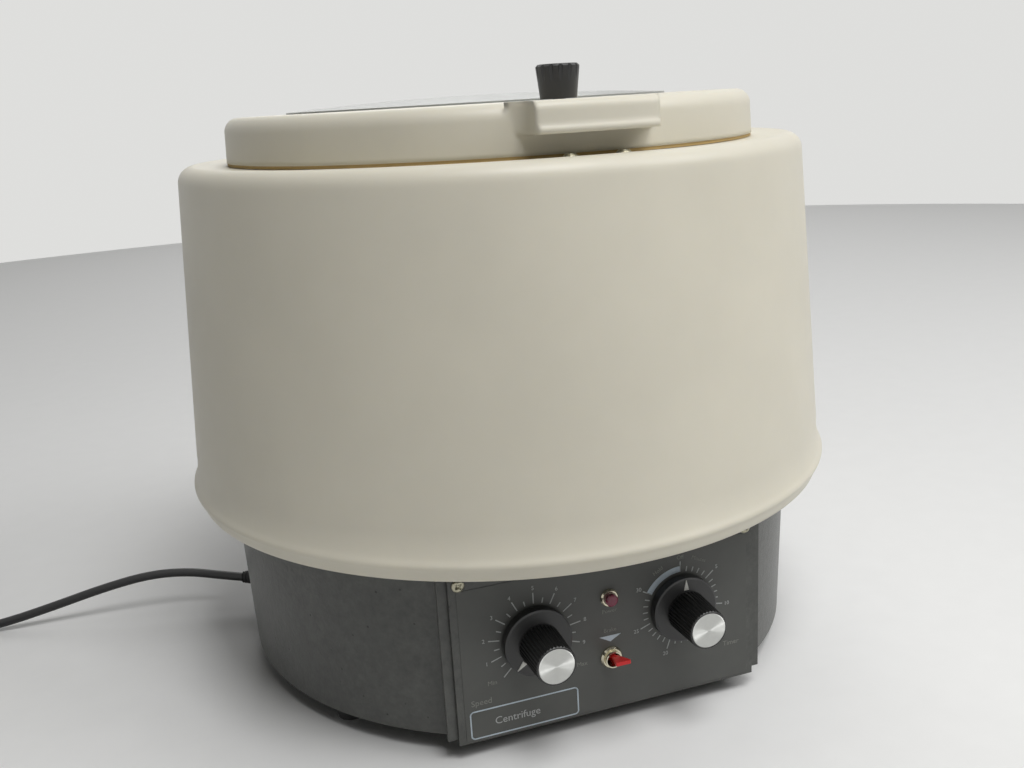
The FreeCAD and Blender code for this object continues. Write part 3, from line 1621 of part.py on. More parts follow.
def rounded_path(points):
    """Straight runs joined by the largest tangent arcs that both runs allow."""
    edges = []
    start = points[0]
    radii = []
    for before, corner, after in zip(points, points[1:], points[2:]):
        back = before - corner
        ahead = after - corner
        turn = math.pi - back.getAngle(ahead)
        reach = 0.45 * min(back.Length, ahead.Length)
        radii.append(reach / math.tan(turn / 2))
        back.normalize()
        ahead.normalize()
        first = corner + back * reach
        last = corner + ahead * reach
        middle = back + ahead
        middle.normalize()
        depth = radii[-1] / math.cos(turn / 2) - radii[-1]
        edges.append(Part.LineSegment(start, first).toShape())
        edges.append(Part.Arc(first, corner + middle * depth, last).toShape())
        start = last
    edges.append(Part.LineSegment(start, points[-1]).toShape())
    return Part.Wire(edges), radii


def cord_tube(points):
    """A round tube along a route."""
    path, radii = rounded_path(points)
    radius = SIZES["cord_radius"]
    circle = Part.makeCircle(radius, points[0], points[1] - points[0])
    tube = path.makePipeShell([Part.Wire([circle])], True, False)
    wanted = math.pi * radius ** 2 * path.Length
    print("cord length %.1f, volume share %.4f, radii %s" % (
        path.Length, tube.Volume / wanted, " ".join("%.0f" % item for item in radii)))
    return tube


def strain_relief():
    """Tapered bush that grips the lead in the drum's wall."""
    exit_point, direction = relief_frame()
    back = s.drum_wall + 3
    wall_out = back
    start = turned(SIZES["relief_azimuth"], drum_radius_at(s.relief_level) - back, 0)
    seat = wall_out + s.seat_gap
    collar = seat + s.relief_flange_height
    return turned_piece("strain_relief", [
        (0, 0), (s.relief_neck, 0), (s.relief_neck, seat), (s.relief_flange, seat),
        (s.relief_flange, collar - 0.8), (s.relief_flange - 0.8, collar),
        (s.relief_neck + 0.4, collar), (s.relief_tip, back + s.relief_length),
        (0, back + s.relief_length)],
        (start[0], start[1], exit_point[2]), direction)


def power_cord():
    """The lead's two free stretches."""
    exit_point, direction = relief_frame()
    tip = FreeCAD.Vector(*[number(item) for item in exit_point])
    tip = tip + direction * SIZES["relief_length"]
    lead = [tip] + [FreeCAD.Vector(*point) for point in LEAD_ROUTE]
    plug = FreeCAD.Vector(PLUG_START[0], PLUG_START[1], SIZES["plug_level"])
    tail = [FreeCAD.Vector(*point) for point in TAIL_ROUTE] + [plug]
    item = add("Part::Feature", "power_cord")
    item.Shape = Part.makeCompound([cord_tube(lead), cord_tube(tail)])
    return item


def cord_coil():
    """The outer shape of the wound length of lead."""
    inner = s.coil_turn_radius - s.coil_half_width
    outer = s.coil_turn_radius + s.coil_half_width
    edge = s.cord_radius
    outline = rounding(inner, 0, edge, (0, 1), (1, 0))
    outline += rounding(outer, 0, edge, (-1, 0), (0, 1))
    outline += rounding(outer, s.coil_height, edge, (0, -1), (-1, 0))
    outline += rounding(inner, s.coil_height, edge, (1, 0), (0, -1))
    return turned_piece("cord_coil", outline, (COIL_CENTRE[0], COIL_CENTRE[1], 0))


def plug_place(ahead, aside, lift):
    """A point of the plug, from the lead's end along the plug, to its side and up."""
    side = FreeCAD.Vector(-PLUG_DIRECTION.y, PLUG_DIRECTION.x, 0)
    return (PLUG_START[0] + ahead * PLUG_DIRECTION.x + aside * side.x,
            PLUG_START[1] + ahead * PLUG_DIRECTION.y + aside * side.y,
            s.plug_level + lift)


def plug_body():
    """Moulded plug with a tapered grip."""
    body = new_body("plug_body")
    widths = ((0, 0.5), (0.35, 0.72), (0.7, 0.9), (1, 1))
    sketches = []
    for index, (ahead, share) in enumerate(widths):
        sketch = new_sketch(body, "plug_outline_%d" % index, "XY_Plane", s.plug_length * ahead)
        wide = s.plug_half_width * share
        high = s.plug_half_height * share
        corner = s.plug_half_height * 0.4 * share
        outline = rounding(-wide, -high, corner, (0, 1), (1, 0))
        outline += rounding(wide, -high, corner, (-1, 0), (0, 1))
        outline += rounding(wide, high, corner, (0, -1), (-1, 0))
        outline += rounding(-wide, high, corner, (1, 0), (0, -1))
        draw(sketch, outline)
        sketches.append(sketch)
    loft = body.newObject("PartDesign::AdditiveLoft", "plug_loft")
    loft.Profile = sketches[0]
    loft.Sections = sketches[1:]
    loft.Ruled = True
    start = plug_place(0, 0, 0)
    body.Placement = plug_placement(start)
    bind(body, "Placement.Base.z", start[2])
    return body


def plug_placement(at):
    """A placement whose Z runs along the plug and whose Y is up."""
    across = PLUG_DIRECTION.cross(UP)
    rotation = FreeCAD.Rotation(across, UP, PLUG_DIRECTION, "ZYX")
    return FreeCAD.Placement(FreeCAD.Vector(*[number(item) for item in at]), rotation)


def plug_blades():
    """Two flat blades and a round ground pin."""
    pieces = []
    low = -s.blade_width / 2 - 2.0
    for index, side in enumerate((-0.5, 0.5)):
        item = add("Part::Box", "blade_%d" % index, Length=s.blade_thickness,
                   Width=s.blade_width, Height=s.blade_length)
        aside = s.blade_spacing * side + s.blade_thickness / 2
        corner = plug_place(s.plug_length, aside, low)
        item.Placement = plug_placement(corner)
        for axis, size in zip("xyz", corner):
            bind(item, "Placement.Base." + axis, size)
        pieces.append(item)
    ground = plug_place(s.plug_length, 0, s.plug_half_height * 0.45)
    pieces.append(rod("ground_pin", s.ground_radius, ground, s.ground_length, PLUG_DIRECTION))
    return group("plug_blades", pieces)


# Building and checking

def build():
    """Make every sub-part and return them by name."""
    pieces = [
        base_housing(), bottom_plate(), rubber_feet(), foot_screws(),
        outer_shell(), shell_screws(), chamber_bowl(), spindle_boot(),
        motor_frame(), motor_flange(), motor_isolators(), motor_end_bell(), motor_spindle(),
        rotor_head(), rotor_nut(),
        lid(), lid_window(), lid_gasket(),
        hinge_base_leaf(), hinge_lid_leaf(), hinge_pin(), hinge_base_screws(),
        hinge_lid_screws(),
        latch_knob(), latch_shaft(), latch_tongue(), catch_plate(), catch_screws(),
        control_panel(), panel_overlay(), panel_screws(),
        speed_control(), timer_movement(),
        lamp_body(), lamp_bezel(), lamp_lens(),
        toggle_switch(), toggle_nut(), toggle_lever(),
        control_board(), strain_relief(), power_cord(), cord_coil(), plug_body(),
        plug_blades(),
    ]
    for index in range(CUPS):
        pieces.append(trunnion_ring(index))
        pieces.append(tube_cup(index))
    for name, across in control_places():
        pieces.append(control_shaft(name + "_shaft", across))
        pieces.append(control_knob(name + "_knob", across))
        pieces.append(knob_inlay(name + "_knob_inlay", across))
    doc.recompute()
    return pieces


def check(pieces):
    """Stop if any object failed or any sub-part is empty or not valid."""
    for item in doc.Objects:
        if "Invalid" in item.State or "Error" in item.State:
            raise RuntimeError("Failed: %s %s" % (item.Name, item.State))
    for item in pieces:
        if item.Shape.isNull() or not item.Shape.isValid() or not item.Shape.Solids:
            raise RuntimeError("No valid solid: " + item.Label)
        for solid in item.Shape.Solids:
            if solid.Volume <= 0:
                raise RuntimeError("Inside out: " + item.Label)


def main():
    """Build the part and write one file for each sub-part."""
    pieces = build()
    check(pieces)
    os.makedirs("parts", exist_ok=True)
    for item in pieces:
        item.Shape.exportStep("parts/%s.step" % item.Label)
    print("%d sub-parts" % len(pieces))


main()
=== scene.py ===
import json
import math

import bpy
from bpy.props import FloatProperty, FloatVectorProperty, PointerProperty
from mathutils import Matrix, Vector


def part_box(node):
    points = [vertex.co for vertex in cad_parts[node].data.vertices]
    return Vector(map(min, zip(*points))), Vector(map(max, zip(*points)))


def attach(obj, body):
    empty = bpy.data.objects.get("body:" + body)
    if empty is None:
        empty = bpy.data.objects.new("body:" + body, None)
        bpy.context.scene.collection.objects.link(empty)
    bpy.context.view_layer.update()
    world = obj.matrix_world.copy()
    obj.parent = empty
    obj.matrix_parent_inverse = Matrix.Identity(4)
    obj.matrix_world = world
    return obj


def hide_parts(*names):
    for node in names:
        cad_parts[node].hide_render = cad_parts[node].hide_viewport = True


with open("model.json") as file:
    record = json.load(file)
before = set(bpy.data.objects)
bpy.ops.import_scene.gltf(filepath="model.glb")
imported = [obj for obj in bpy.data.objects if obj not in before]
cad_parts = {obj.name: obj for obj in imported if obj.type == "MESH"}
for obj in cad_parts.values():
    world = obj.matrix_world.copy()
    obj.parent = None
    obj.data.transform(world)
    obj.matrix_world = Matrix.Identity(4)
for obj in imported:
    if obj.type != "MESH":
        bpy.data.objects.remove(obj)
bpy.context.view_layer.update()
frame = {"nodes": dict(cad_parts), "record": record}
NODES = frame["nodes"]

bl_info = {
    "name": "Bench Centrifuge",
    "version": (1, 0, 0),
    "blender": (4, 5, 0),
    "location": "View3D > Sidebar > Centrifuge",
    "description": "Dresses a bench centrifuge with its print, lead, screws and finishes",
    "category": "Object",
}

MM = 0.001
# Vertices nearer than this are merged
MERGE = 0.002 * MM

# Places of the panel's controls across the panel and up from the bench, in millimetres
SPEED_DIAL = (-45.4, 67.0)
TIMER_DIAL = (45.4, 67.0)
LAMP = (0.0, 82.0)
TOGGLE = (0.0, 44.5)


def linear(hex_colour):
    """The linear colour of an sRGB hex value, with an alpha of one."""
    channels = []
    for start in (1, 3, 5):
        value = int(hex_colour[start:start + 2], 16) / 255
        if value <= 0.04045:
            channels.append(value / 12.92)
        else:
            channels.append(((value + 0.055) / 1.055) ** 2.4)
    return (*channels, 1.0)


def colour(name, description, hex_colour):
    """A colour property that starts from an sRGB hex value."""
    return FloatVectorProperty(name=name, description=description, subtype="COLOR", size=4,
                               min=0, max=1, default=linear(hex_colour))


def length(name, description, millimetres):
    """A length property that starts from a size in millimetres."""
    return FloatProperty(name=name, description=description, subtype="DISTANCE", unit="LENGTH",
                         min=0, default=millimetres * MM)


class CENTRIFUGE_PG_colours(bpy.types.PropertyGroup):
    """Colours of the finishes."""

    case: colour("Case", "Moulded case and lid", "#D8D3C3")
    base: colour("Base", "Air-dried enamel of the base", "#4E4F4C")
    panel: colour("Panel", "Printed face of the control panel", "#50514E")
    print_line: colour("Print", "Lines and figures of the dials", "#A8AAA9")
    print_word: colour("Words", "Words of the panel", "#7C7D77")
    print_block: colour("Blocks", "Hold band and arrow", "#BAC6CF")
    knob: colour("Knobs", "Moulded knobs", "#141414")
    lever: colour("Lever", "Toggle lever", "#C8191B")
    lens: colour("Lens", "Lamp lens", "#8A1C42")
    pointer: colour("Pointers", "Filled pointers of the knobs' skirts", "#D9D9D2")
    gasket: colour("Gasket", "Aged foam ring under the lid", "#B79C68")
    cord: colour("Cord", "Cord jacket", "#121213")
    floor: colour("Floor", "Bench top", "#EBEBEA")


class CENTRIFUGE_PG_sizes(bpy.types.PropertyGroup):
    """Sizes of the pieces that are modelled here."""

    cord_diameter: length("Cord diameter", "Thickness of the mains lead", 6.4)
    coil_turn: length("Coil turn", "Radius of the coil's outermost turn", 43.2)
    print_height: length("Print height", "How far the print stands off the panel", 0.06)
    tick_width: length("Tick width", "Width of a dial's ticks", 0.65)
    figure_height: length("Figure height", "Height of the dials' figures", 2.5)
    word_height: length("Word height", "Height of the panel's words", 3.7)
    floor_span: length("Floor span", "Width of the round bench top", 5200)


def colours():
    """The scene's colours."""
    return bpy.context.scene.centrifuge_colours


def sizes():
    """The scene's sizes."""
    return bpy.context.scene.centrifuge_sizes


# Modelling helpers

def deselect():
    """Leave nothing selected."""
    if bpy.context.mode != "OBJECT":
        bpy.ops.object.mode_set(mode="OBJECT")
    bpy.ops.object.select_all(action="DESELECT")


def pick(piece):
    """Make a piece the only selected and active object."""
    deselect()
    piece.select_set(True)
    bpy.context.view_layer.objects.active = piece


def settle(piece):
    """Put a piece's place, turn and scale into its mesh."""
    pick(piece)
    bpy.ops.object.transform_apply(location=True, rotation=True, scale=True)
    return piece


def extent(piece):
    """The lowest and highest corner of a piece's mesh."""
    places = [vertex.co for vertex in piece.data.vertices]
    return (Vector(min(place[axis] for place in places) for axis in range(3)),
            Vector(max(place[axis] for place in places) for axis in range(3)))


def smooth_shade(piece, degrees):
    """Shade a piece smooth over edges that turn less than an angle."""
    pick(piece)
    bpy.ops.object.shade_smooth_by_angle(angle=math.radians(degrees))


def join(name, pieces):
    """Join several meshes into one piece."""
    deselect()
    for piece in pieces:
        piece.select_set(True)
    bpy.context.view_layer.objects.active = pieces[0]
    if len(pieces) > 1:
        bpy.ops.object.join()
    joined = bpy.context.view_layer.objects.active
    joined.name = name
    joined.data.name = name
    return settle(joined)


def finish_piece(piece, body, material, replaced=()):
    """Give a piece its material and slot, and let it ride on a body."""
    piece.data.materials.clear()
    piece.data.materials.append(material)
    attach(piece, body)
    if replaced:
        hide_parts(*replaced)
    return piece


# Material helpers

def add_node(tree, kind, inputs=None, **settings):
    """Add a shader node with its settings, and set or link its inputs."""
    node = tree.nodes.new(kind)
    for name, value in settings.items():
        setattr(node, name, value)
    for name, value in (inputs or {}).items():
        if isinstance(value, bpy.types.NodeSocket):
            tree.links.new(value, node.inputs[name])
        else:
            node.inputs[name].default_value = value
    return node


def new_material(name, **constants):
    """A material with a principled shader, and its tree, shader and object coordinates."""
    material = bpy.data.materials.new(name)
    material.use_nodes = True
    tree = material.node_tree
    tree.nodes.clear()
    shader = add_node(tree, "ShaderNodeBsdfPrincipled", {
        key.replace("_", " ").title().replace("Ior", "IOR"): value
        for key, value in constants.items()})
    output = add_node(tree, "ShaderNodeOutputMaterial")
    tree.links.new(shader.outputs["BSDF"], output.inputs["Surface"])
    place = add_node(tree, "ShaderNodeTexCoord").outputs["Object"]
    return material, tree, shader, place


def patches(tree, place, millimetres, low=0.0, high=1.0, span=(0.0, 1.0), detail=3.0,
            rough=0.55):
    """Values from low to high in patches of a size in millimetres."""
    cloud = add_node(tree, "ShaderNodeTexNoise", {
        "Vector": place, "Scale": 1 / (millimetres * MM), "Detail": detail,
        "Roughness": rough}).outputs["Fac"]
    return add_node(tree, "ShaderNodeMapRange", {
        "Value": cloud, "From Min": span[0], "From Max": span[1],
        "To Min": low, "To Max": high}).outputs["Result"]


def product(tree, first, second):
    """Two values multiplied."""
    return add_node(tree, "ShaderNodeMath", {0: first, 1: second},
                    operation="MULTIPLY").outputs[0]


def surface(tree, shader, hue, lightness, roughness):
    """Give a shader its colour at a varying lightness, and its varying roughness."""
    paint = add_node(tree, "ShaderNodeHueSaturation", {"Color": tuple(hue), "Value": lightness})
    tree.links.new(paint.outputs["Color"], shader.inputs["Base Color"])
    tree.links.new(roughness, shader.inputs["Roughness"])


def relief(tree, shader, height, depth, strength=1.0, soft=0.0):
    """Raise the surface by a height map, its edges softened; sizes in millimetres."""
    inputs = {"Height": height, "Distance": depth * MM, "Strength": strength}
    if soft:
        inputs["Normal"] = add_node(tree, "ShaderNodeBevel", {"Radius": soft * MM},
                                    samples=8).outputs["Normal"]
    bump = add_node(tree, "ShaderNodeBump", inputs)
    tree.links.new(bump.outputs["Normal"], shader.inputs["Normal"])


# Finishes

# Span of the noise over which a tone varies; most of its values lie inside
TONE_SPAN = (0.3, 0.7)


def cream_plastic():
    """Rotationally moulded polyethylene: waxy and soft-edged, clouded, faintly orange-peeled."""
    material, tree, shader, place = new_material(
        "cream_moulded_polyethylene", ior=1.51, subsurface_weight=0.12, subsurface_scale=0.004)
    shader.inputs["Subsurface Radius"].default_value = (1.0, 0.8, 0.5)
    # Clouds of 90 mm, wiped patches of 14 mm, and an orange peel of 7 mm, which is drawn coarser
    # than the real one so that it shows
    surface(tree, shader, colours().case, patches(tree, place, 90, 0.96, 1.03, TONE_SPAN, 4),
            patches(tree, place, 14, 0.34, 0.5, detail=6, rough=0.7))
    relief(tree, shader, patches(tree, place, 7), 0.10, 0.5, soft=4.0)
    return material


def base_enamel():
    """Air-dried grey enamel on a rough casting: half gloss, mottled, with pits darkened by painted
    shade.
    """
    material, tree, shader, place = new_material("rough_cast_enamel", ior=1.5)
    # Casting pits about 12 mm apart, each 1 to 2 mm wide, their colour darkened by painted shade
    spots = add_node(tree, "ShaderNodeTexVoronoi", {
        "Vector": place, "Scale": 1 / (12 * MM), "Randomness": 1.0}).outputs["Distance"]
    pits = add_node(tree, "ShaderNodeMapRange", {
        "Value": spots, "From Min": 0.045, "From Max": 0.085}).outputs["Result"]
    # Painted shade in the pits: the enamel's colour falls to 0.35 of itself inside each pit
    painted_pit_shade = add_node(tree, "ShaderNodeMapRange", {
        "Value": pits, "To Min": 0.35, "To Max": 1.0}).outputs["Result"]
    # The brush's mottle of 24 mm and grime of 5 mm change the tone
    mottle = patches(tree, place, 24, 0.8, 1.2, TONE_SPAN, 5, 0.65)
    grime = patches(tree, place, 5, 0.82, 1.16, TONE_SPAN, 4, 0.7)
    surface(tree, shader, colours().base, product(tree, product(tree, mottle, grime), painted_pit_shade),
            patches(tree, place, 24, 0.28, 0.44, detail=5, rough=0.65))
    # Sand grit of the mould, drawn coarser than the real half millimetre so that it shows
    grit = patches(tree, place, 3.2, detail=5, rough=0.65)
    relief(tree, shader, product(tree, grit, pits), 0.4, 0.7)
    return material


def plain(name, hue, roughness, grain=3.0, depth=0.02, metallic=0.0, spread=0.05, **constants):
    """A finish with a fine grain in millimetres and a slight change of tone.

    The grain is drawn coarser than the real one where that would be too fine to show.
    """
    material, tree, shader, place = new_material(name, metallic=metallic, **constants)
    surface(tree, shader, hue,
            patches(tree, place, grain * 6, 1 - spread, 1 + spread, TONE_SPAN, 4),
            patches(tree, place, grain * 6, roughness * 0.85, roughness * 1.15, detail=4))
    relief(tree, shader, patches(tree, place, grain), depth, 0.6)
    return material


def smoky_acrylic():
    """Cast acrylic, greyed by age and wiping: see-through, with a faint haze."""
    material, tree, shader, place = new_material(
        "smoky_acrylic", ior=1.49, transmission_weight=0.5)
    surface(tree, shader, linear("#BFC1BD"),
            patches(tree, place, 12, 0.98, 1.01, TONE_SPAN, 6, 0.7),
            patches(tree, place, 12, 0.3, 0.36, (0.35, 0.75), 6, 0.7))
    return material


def spun_aluminium():
    """Aluminium faced on a lathe: fine rings that spread the light into a fan."""
    material, tree, shader, place = new_material(
        "spun_aluminium", metallic=1.0, anisotropic=0.92)
    tangent = add_node(tree, "ShaderNodeTangent", direction_type="RADIAL", axis="Y")
    tree.links.new(tangent.outputs["Tangent"], shader.inputs["Tangent"])
    surface(tree, shader, linear("#DADBD8"), patches(tree, place, 6, 0.95, 1.04, TONE_SPAN),
            patches(tree, place, 6, 0.5, 0.58))
    return material


def plain_finishes(hues):
    """Arguments of the plain finishes by slot: name, colour, roughness, grain, depth, metallic."""
    return {
        # Screen print on lacquered sheet: flat and even, half matt
        "overlay_print": ("screen_printed_lacquer", hues.panel, 0.5, 1.2, 0.015),
        # Moulded rubber: nearly dead matt, with a fine skin
        "black_rubber": ("moulded_rubber", linear("#1B1B1C"), 0.7, 0.8, 0.03),
        # Plasticised PVC, extruded: black with a soft long highlight
        "cord_jacket": ("pvc_cord_jacket", hues.cord, 0.42, 1.5, 0.02),
        # Zinc-plated steel, aged: dull bright metal with a yellow cast
        "zinc_screw": ("zinc_plated_steel", linear("#B0AC98"), 0.35, 1.5, 0.01, 1.0),
        # Spun aluminium sheet, wiped clean: cool, softly streaked shine
        "bowl_aluminium": ("spun_bowl_aluminium", linear("#B9BBBD"), 0.38, 2.0, 0.01, 1.0),
        # Air-dried enamel on steel: dark and half matt
        "motor_paint": ("air_dried_enamel", linear("#3B3E42"), 0.45, 1.0, 0.02),
        # Bead-blasted aluminium casting: even grey metal without glints
        "cast_alloy": ("blasted_cast_aluminium", linear("#9EA1A3"), 0.5, 0.9, 0.04, 1.0),
        # Turned steel: bright, with sharp highlights
        "machined_steel": ("turned_steel", linear("#B5B7B8"), 0.28, 1.0, 0.006, 1.0),
        # Closed-cell foam, aged: amber and quite matt
        "gasket_foam": ("closed_cell_foam", hues.gasket, 0.8, 0.7, 0.05),
        # Paint pressed into the moulded pointer: plain off-white
        "pointer_fill": ("pressed_in_paint", hues.pointer, 0.45, 0.8, 0.005),
        # Phenolic resin, compression-moulded: deep black, half gloss
        "black_phenolic": ("moulded_phenolic", hues.knob, 0.38, 0.9, 0.012),
        # Nickel plate, tarnished a little: near-mirror with a warm cast
        "bright_nickel": ("polished_nickel", linear("#CFC9B4"), 0.2, 2.0, 0.004, 1.0),
        # Moulded thermoset insulator: brown, half matt
        "brown_insulator": ("moulded_thermoset", linear("#3A2B22"), 0.5, 0.8, 0.02),
        # Acetal lever, injection-moulded: clean red with a soft gloss
        "red_plastic": ("moulded_acetal", hues.lever, 0.3, 1.5, 0.01),
        # Glass-epoxy board under lacquer: dark green gloss
        "circuit_board": ("lacquered_glass_epoxy", linear("#2F5A3A"), 0.35, 1.0, 0.02),
        # Drawn brass, bare: yellow metal, lightly brushed
        "brass_blade": ("drawn_brass", linear("#C9A24E"), 0.3, 1.0, 0.006, 1.0),
        # Drawn aluminium cups: pale metal, brighter than the casting
        "cup_aluminium": ("drawn_cup_aluminium", linear("#C3C5C6"), 0.33, 1.2, 0.008, 1.0),
    }


# Index of refraction of the plain finishes that aren't of common plastic or paint
FINISH_IOR = {"black_rubber": 1.52, "cord_jacket": 1.53, "black_phenolic": 1.6,
              "brown_insulator": 1.55}
FINISHES = {}


def make_finish(slot_name):
    """Make the finish of a material slot."""
    special = {"cream_plastic": cream_plastic, "hammertone_grey": base_enamel,
               "smoky_acrylic": smoky_acrylic, "spun_aluminium": spun_aluminium}
    if slot_name in special:
        return special[slot_name]()
    if slot_name == "red_lens":
        # Dyed acrylic, polished: dark red that lets some light in
        return plain("polished_dyed_acrylic", colours().lens, 0.22, 1.5, 0.008, ior=1.5,
                     transmission_weight=0.25, coat_weight=0.3)
    values = plain_finishes(colours())[slot_name]
    return plain(*values, ior=FINISH_IOR.get(slot_name, 1.5))


def finish(slot_name):
    """The Blender finish of a material slot, made once."""
    if slot_name not in FINISHES:
        FINISHES[slot_name] = make_finish(slot_name)
    return FINISHES[slot_name]


PRINTS = {}


def finish_print(kind):
    """The ink of the panel's lines, words or blocks, made once."""
    if kind not in PRINTS:
        hue = {"line": colours().print_line, "word": colours().print_word,
               "block": colours().print_block}[kind]
        PRINTS[kind] = plain("screen_ink_" + kind, hue, 0.55, 1.0, 0.005, spread=0.08)
    return PRINTS[kind]


# Operators, one for each piece or group of pieces

# The camera as solved from the round edges of the case and lid: its heading, downward tilt and
# roll in degrees, its place in millimetres and its focal length in pixels of the photograph
CAMERA_ANGLES = (18.16, 15.39, -3.39)
CAMERA_PLACE = (-211.0, -661.1, 357.1)
FOCAL_PIXELS = 1031.14
PICTURE_WIDTH = 1024
SENSOR_WIDTH = 36.0


class CENTRIFUGE_OT_camera(bpy.types.Operator):
    """Place the camera where the photograph was taken from"""

    bl_idname = "centrifuge.camera"
    bl_label = "Camera"

    def execute(self, context):
        data = bpy.data.cameras.new("photo_camera")
        camera = bpy.data.objects.new("photo_camera", data)
        context.scene.collection.objects.link(camera)
        heading, tilt, roll = (math.radians(angle) for angle in CAMERA_ANGLES)
        ahead = Vector((math.sin(heading) * math.cos(tilt),
                        math.cos(heading) * math.cos(tilt), -math.sin(tilt)))
        right = ahead.cross(Vector((0, 0, 1))).normalized()
        up = right.cross(ahead)
        across = right * math.cos(roll) + up * math.sin(roll)
        upward = up * math.cos(roll) - right * math.sin(roll)
        turn = Matrix((across, upward, -ahead)).transposed().to_4x4()
        camera.matrix_world = Matrix.Translation(Vector(CAMERA_PLACE) * MM) @ turn
        data.sensor_width = SENSOR_WIDTH
        data.lens = SENSOR_WIDTH * FOCAL_PIXELS / PICTURE_WIDTH
        data.clip_start = 0.05
        data.clip_end = 60
        context.scene.camera = camera
        return {"FINISHED"}


# Route of the lead, the same points as the part's own, in millimetres
LEAD_START = (-188.5, 83.9, 22.0)
LEAD_ROUTE = [
    (-206.0, 91.9, 24.0),
    (-228.0, 99.5, 28.0),
    (-256.0, 105.5, 28.5),
    (-290.0, 110.0, 22.5),
    (-326.0, 114.5, 13.5),
    (-362.0, 119.0, 5.6),
    (-396.0, 121.5, 3.4),
    (-428.0, 122.8, 3.2),
]
COIL_CENTRE = (-428.0, 79.6)
TAIL_ROUTE = [
    (-393.6, 109.0, 10.2),
    (-407.5, 123.6, 10.8),
    (-432.5, 130.9, 8.8),
    (-457.8, 122.2, 5.4),
    (-475.6, 101.8, 3.6),
    (-480.4, 76.9, 3.2),
    (-474.8, 52.6, 3.2),
    (-461.2, 31.4, 5.6),
    (-440.8, 16.3, 10.5),
    (-421.0, 13.5, 10.5),
]
TURNS_WIDE = 3
POINTS_A_TURN = 20
LAYERS = 2
# Share of a turn after which the lead moves over to the next turn, and the share that this takes
SHIFT_FROM = 0.78
SHIFT_SPAN = 0.22
# How far the lead swings inwards while it climbs to the upper layer, in millimetres
CLIMB_SWING = 8


def smooth(share):
    """A share from 0 to 1 that starts and ends gently."""
    share = min(1.0, max(0.0, share))
    return share * share * (3 - 2 * share)


def coil_points():
    """Points of the coil's turns, from the lead's end to where the tail leaves."""
    outer = sizes().coil_turn / MM
    pitch = sizes().cord_diameter / MM
    # A smooth curve through few points runs inside them, so they lie further out
    swell = 1 / (0.5 + 0.5 * math.cos(math.pi / POINTS_A_TURN))
    points = []
    turns = TURNS_WIDE * LAYERS
    for step in range(1, turns * POINTS_A_TURN - 2):
        turned = step / POINTS_A_TURN
        lap = int(turned)
        shift = smooth((turned - lap - SHIFT_FROM) / SHIFT_SPAN)
        layer = 0 if lap < TURNS_WIDE else 1
        column = lap if layer == 0 else 2 * TURNS_WIDE - 1 - lap
        radius = outer - column * pitch
        level = pitch / 2 + layer * pitch
        if lap == TURNS_WIDE - 1:
            level += shift * pitch
            radius -= CLIMB_SWING * shift * (1 - shift)
        elif layer == 0:
            radius -= shift * pitch
        else:
            radius += shift * pitch
        angle = math.radians(90 + 360 * turned)
        radius *= swell
        points.append((COIL_CENTRE[0] + radius * math.cos(angle),
                       COIL_CENTRE[1] + radius * math.sin(angle), level))
    return points


class CENTRIFUGE_OT_power_cord(bpy.types.Operator):
    """Lay the mains lead from its strain relief through the coil to the plug"""

    bl_idname = "centrifuge.power_cord"
    bl_label = "Power cord"

    def execute(self, context):
        route = [LEAD_START] + LEAD_ROUTE + coil_points() + TAIL_ROUTE
        curve = bpy.data.curves.new("mains_lead", "CURVE")
        curve.dimensions = "3D"
        spline = curve.splines.new("NURBS")
        spline.points.add(len(route) - 1)
        for point, place in zip(spline.points, route):
            point.co = (*(value * MM for value in place), 1.0)
        spline.order_u = 3
        spline.use_endpoint_u = True
        spline.resolution_u = 8
        curve.bevel_depth = sizes().cord_diameter / 2
        curve.bevel_resolution = 5
        curve.use_fill_caps = True
        piece = bpy.data.objects.new("mains_lead", curve)
        context.scene.collection.objects.link(piece)
        finish_piece(piece, "case", finish("cord_jacket"),
                     ["power_cord", "cord_coil"])
        return {"FINISHED"}


# Nodes whose finish isn't the one named for their slot
OTHER_FINISH = {"lid_gasket": "gasket_foam"}


class CENTRIFUGE_OT_finishes(bpy.types.Operator):
    """Give every solid of the part the finish of its material slot"""

    bl_idname = "centrifuge.finishes"
    bl_label = "Finishes"

    def execute(self, context):
        for entry in frame["record"]["subparts"]:
            node = NODES[entry["node"]]
            node.data.materials.clear()
            slot_name = OTHER_FINISH.get(entry["node"], entry["material_slot"])
            node.data.materials.append(finish(slot_name))
        return {"FINISHED"}


# Print of the control panel, its radii in millimetres and its angles clockwise in degrees
TICK_START = 21.3
LONG_TICK_END = 27.8
SHORT_TICK_END = 24.4
SPEED_START = -135
SPEED_TICK = 13.5
SPEED_TICKS = 21
SPEED_FIGURE_RADIUS = 30.6
MINUTE = 10
TIMER_MINUTES = 30
TIMER_FIGURE_RADIUS = 30.8
HOLD_SPAN = 60
HOLD_INNER = 21.4
HOLD_OUTER = 25.0
HOLD_BARS = 16
# Bars of a curved line are longer by this factor, so that they overlap
BAND_OVERLAP = 1.06
CORNER_OVERLAP = 1.05
CORNER_BARS = 5
# Size of the font over the height of its capitals
FONT_SIZE = 1.38
# Nameplate frame: its span across and up, its corner radius and its line width
PLATE_ACROSS = (-86.0, -21.5)
PLATE_UP = (13.0, 30.0)
PLATE_CORNER = 2.2
PLATE_LINE = 0.8


def panel_face():
    """The front face of the printed overlay."""
    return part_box("panel_overlay")[0].y


def print_block(centre, width, height, turn=0.0):
    """A printed bar on the panel, turned clockwise by an angle in degrees."""
    deselect()
    bpy.ops.mesh.primitive_cube_add(size=1)
    bar = bpy.context.active_object
    thick = sizes().print_height
    bar.scale = (width, thick, height)
    bar.rotation_euler = (0, math.radians(turn), 0)
    bar.location = (centre[0] * MM, panel_face() - thick / 2, centre[1] * MM)
    return settle(bar)


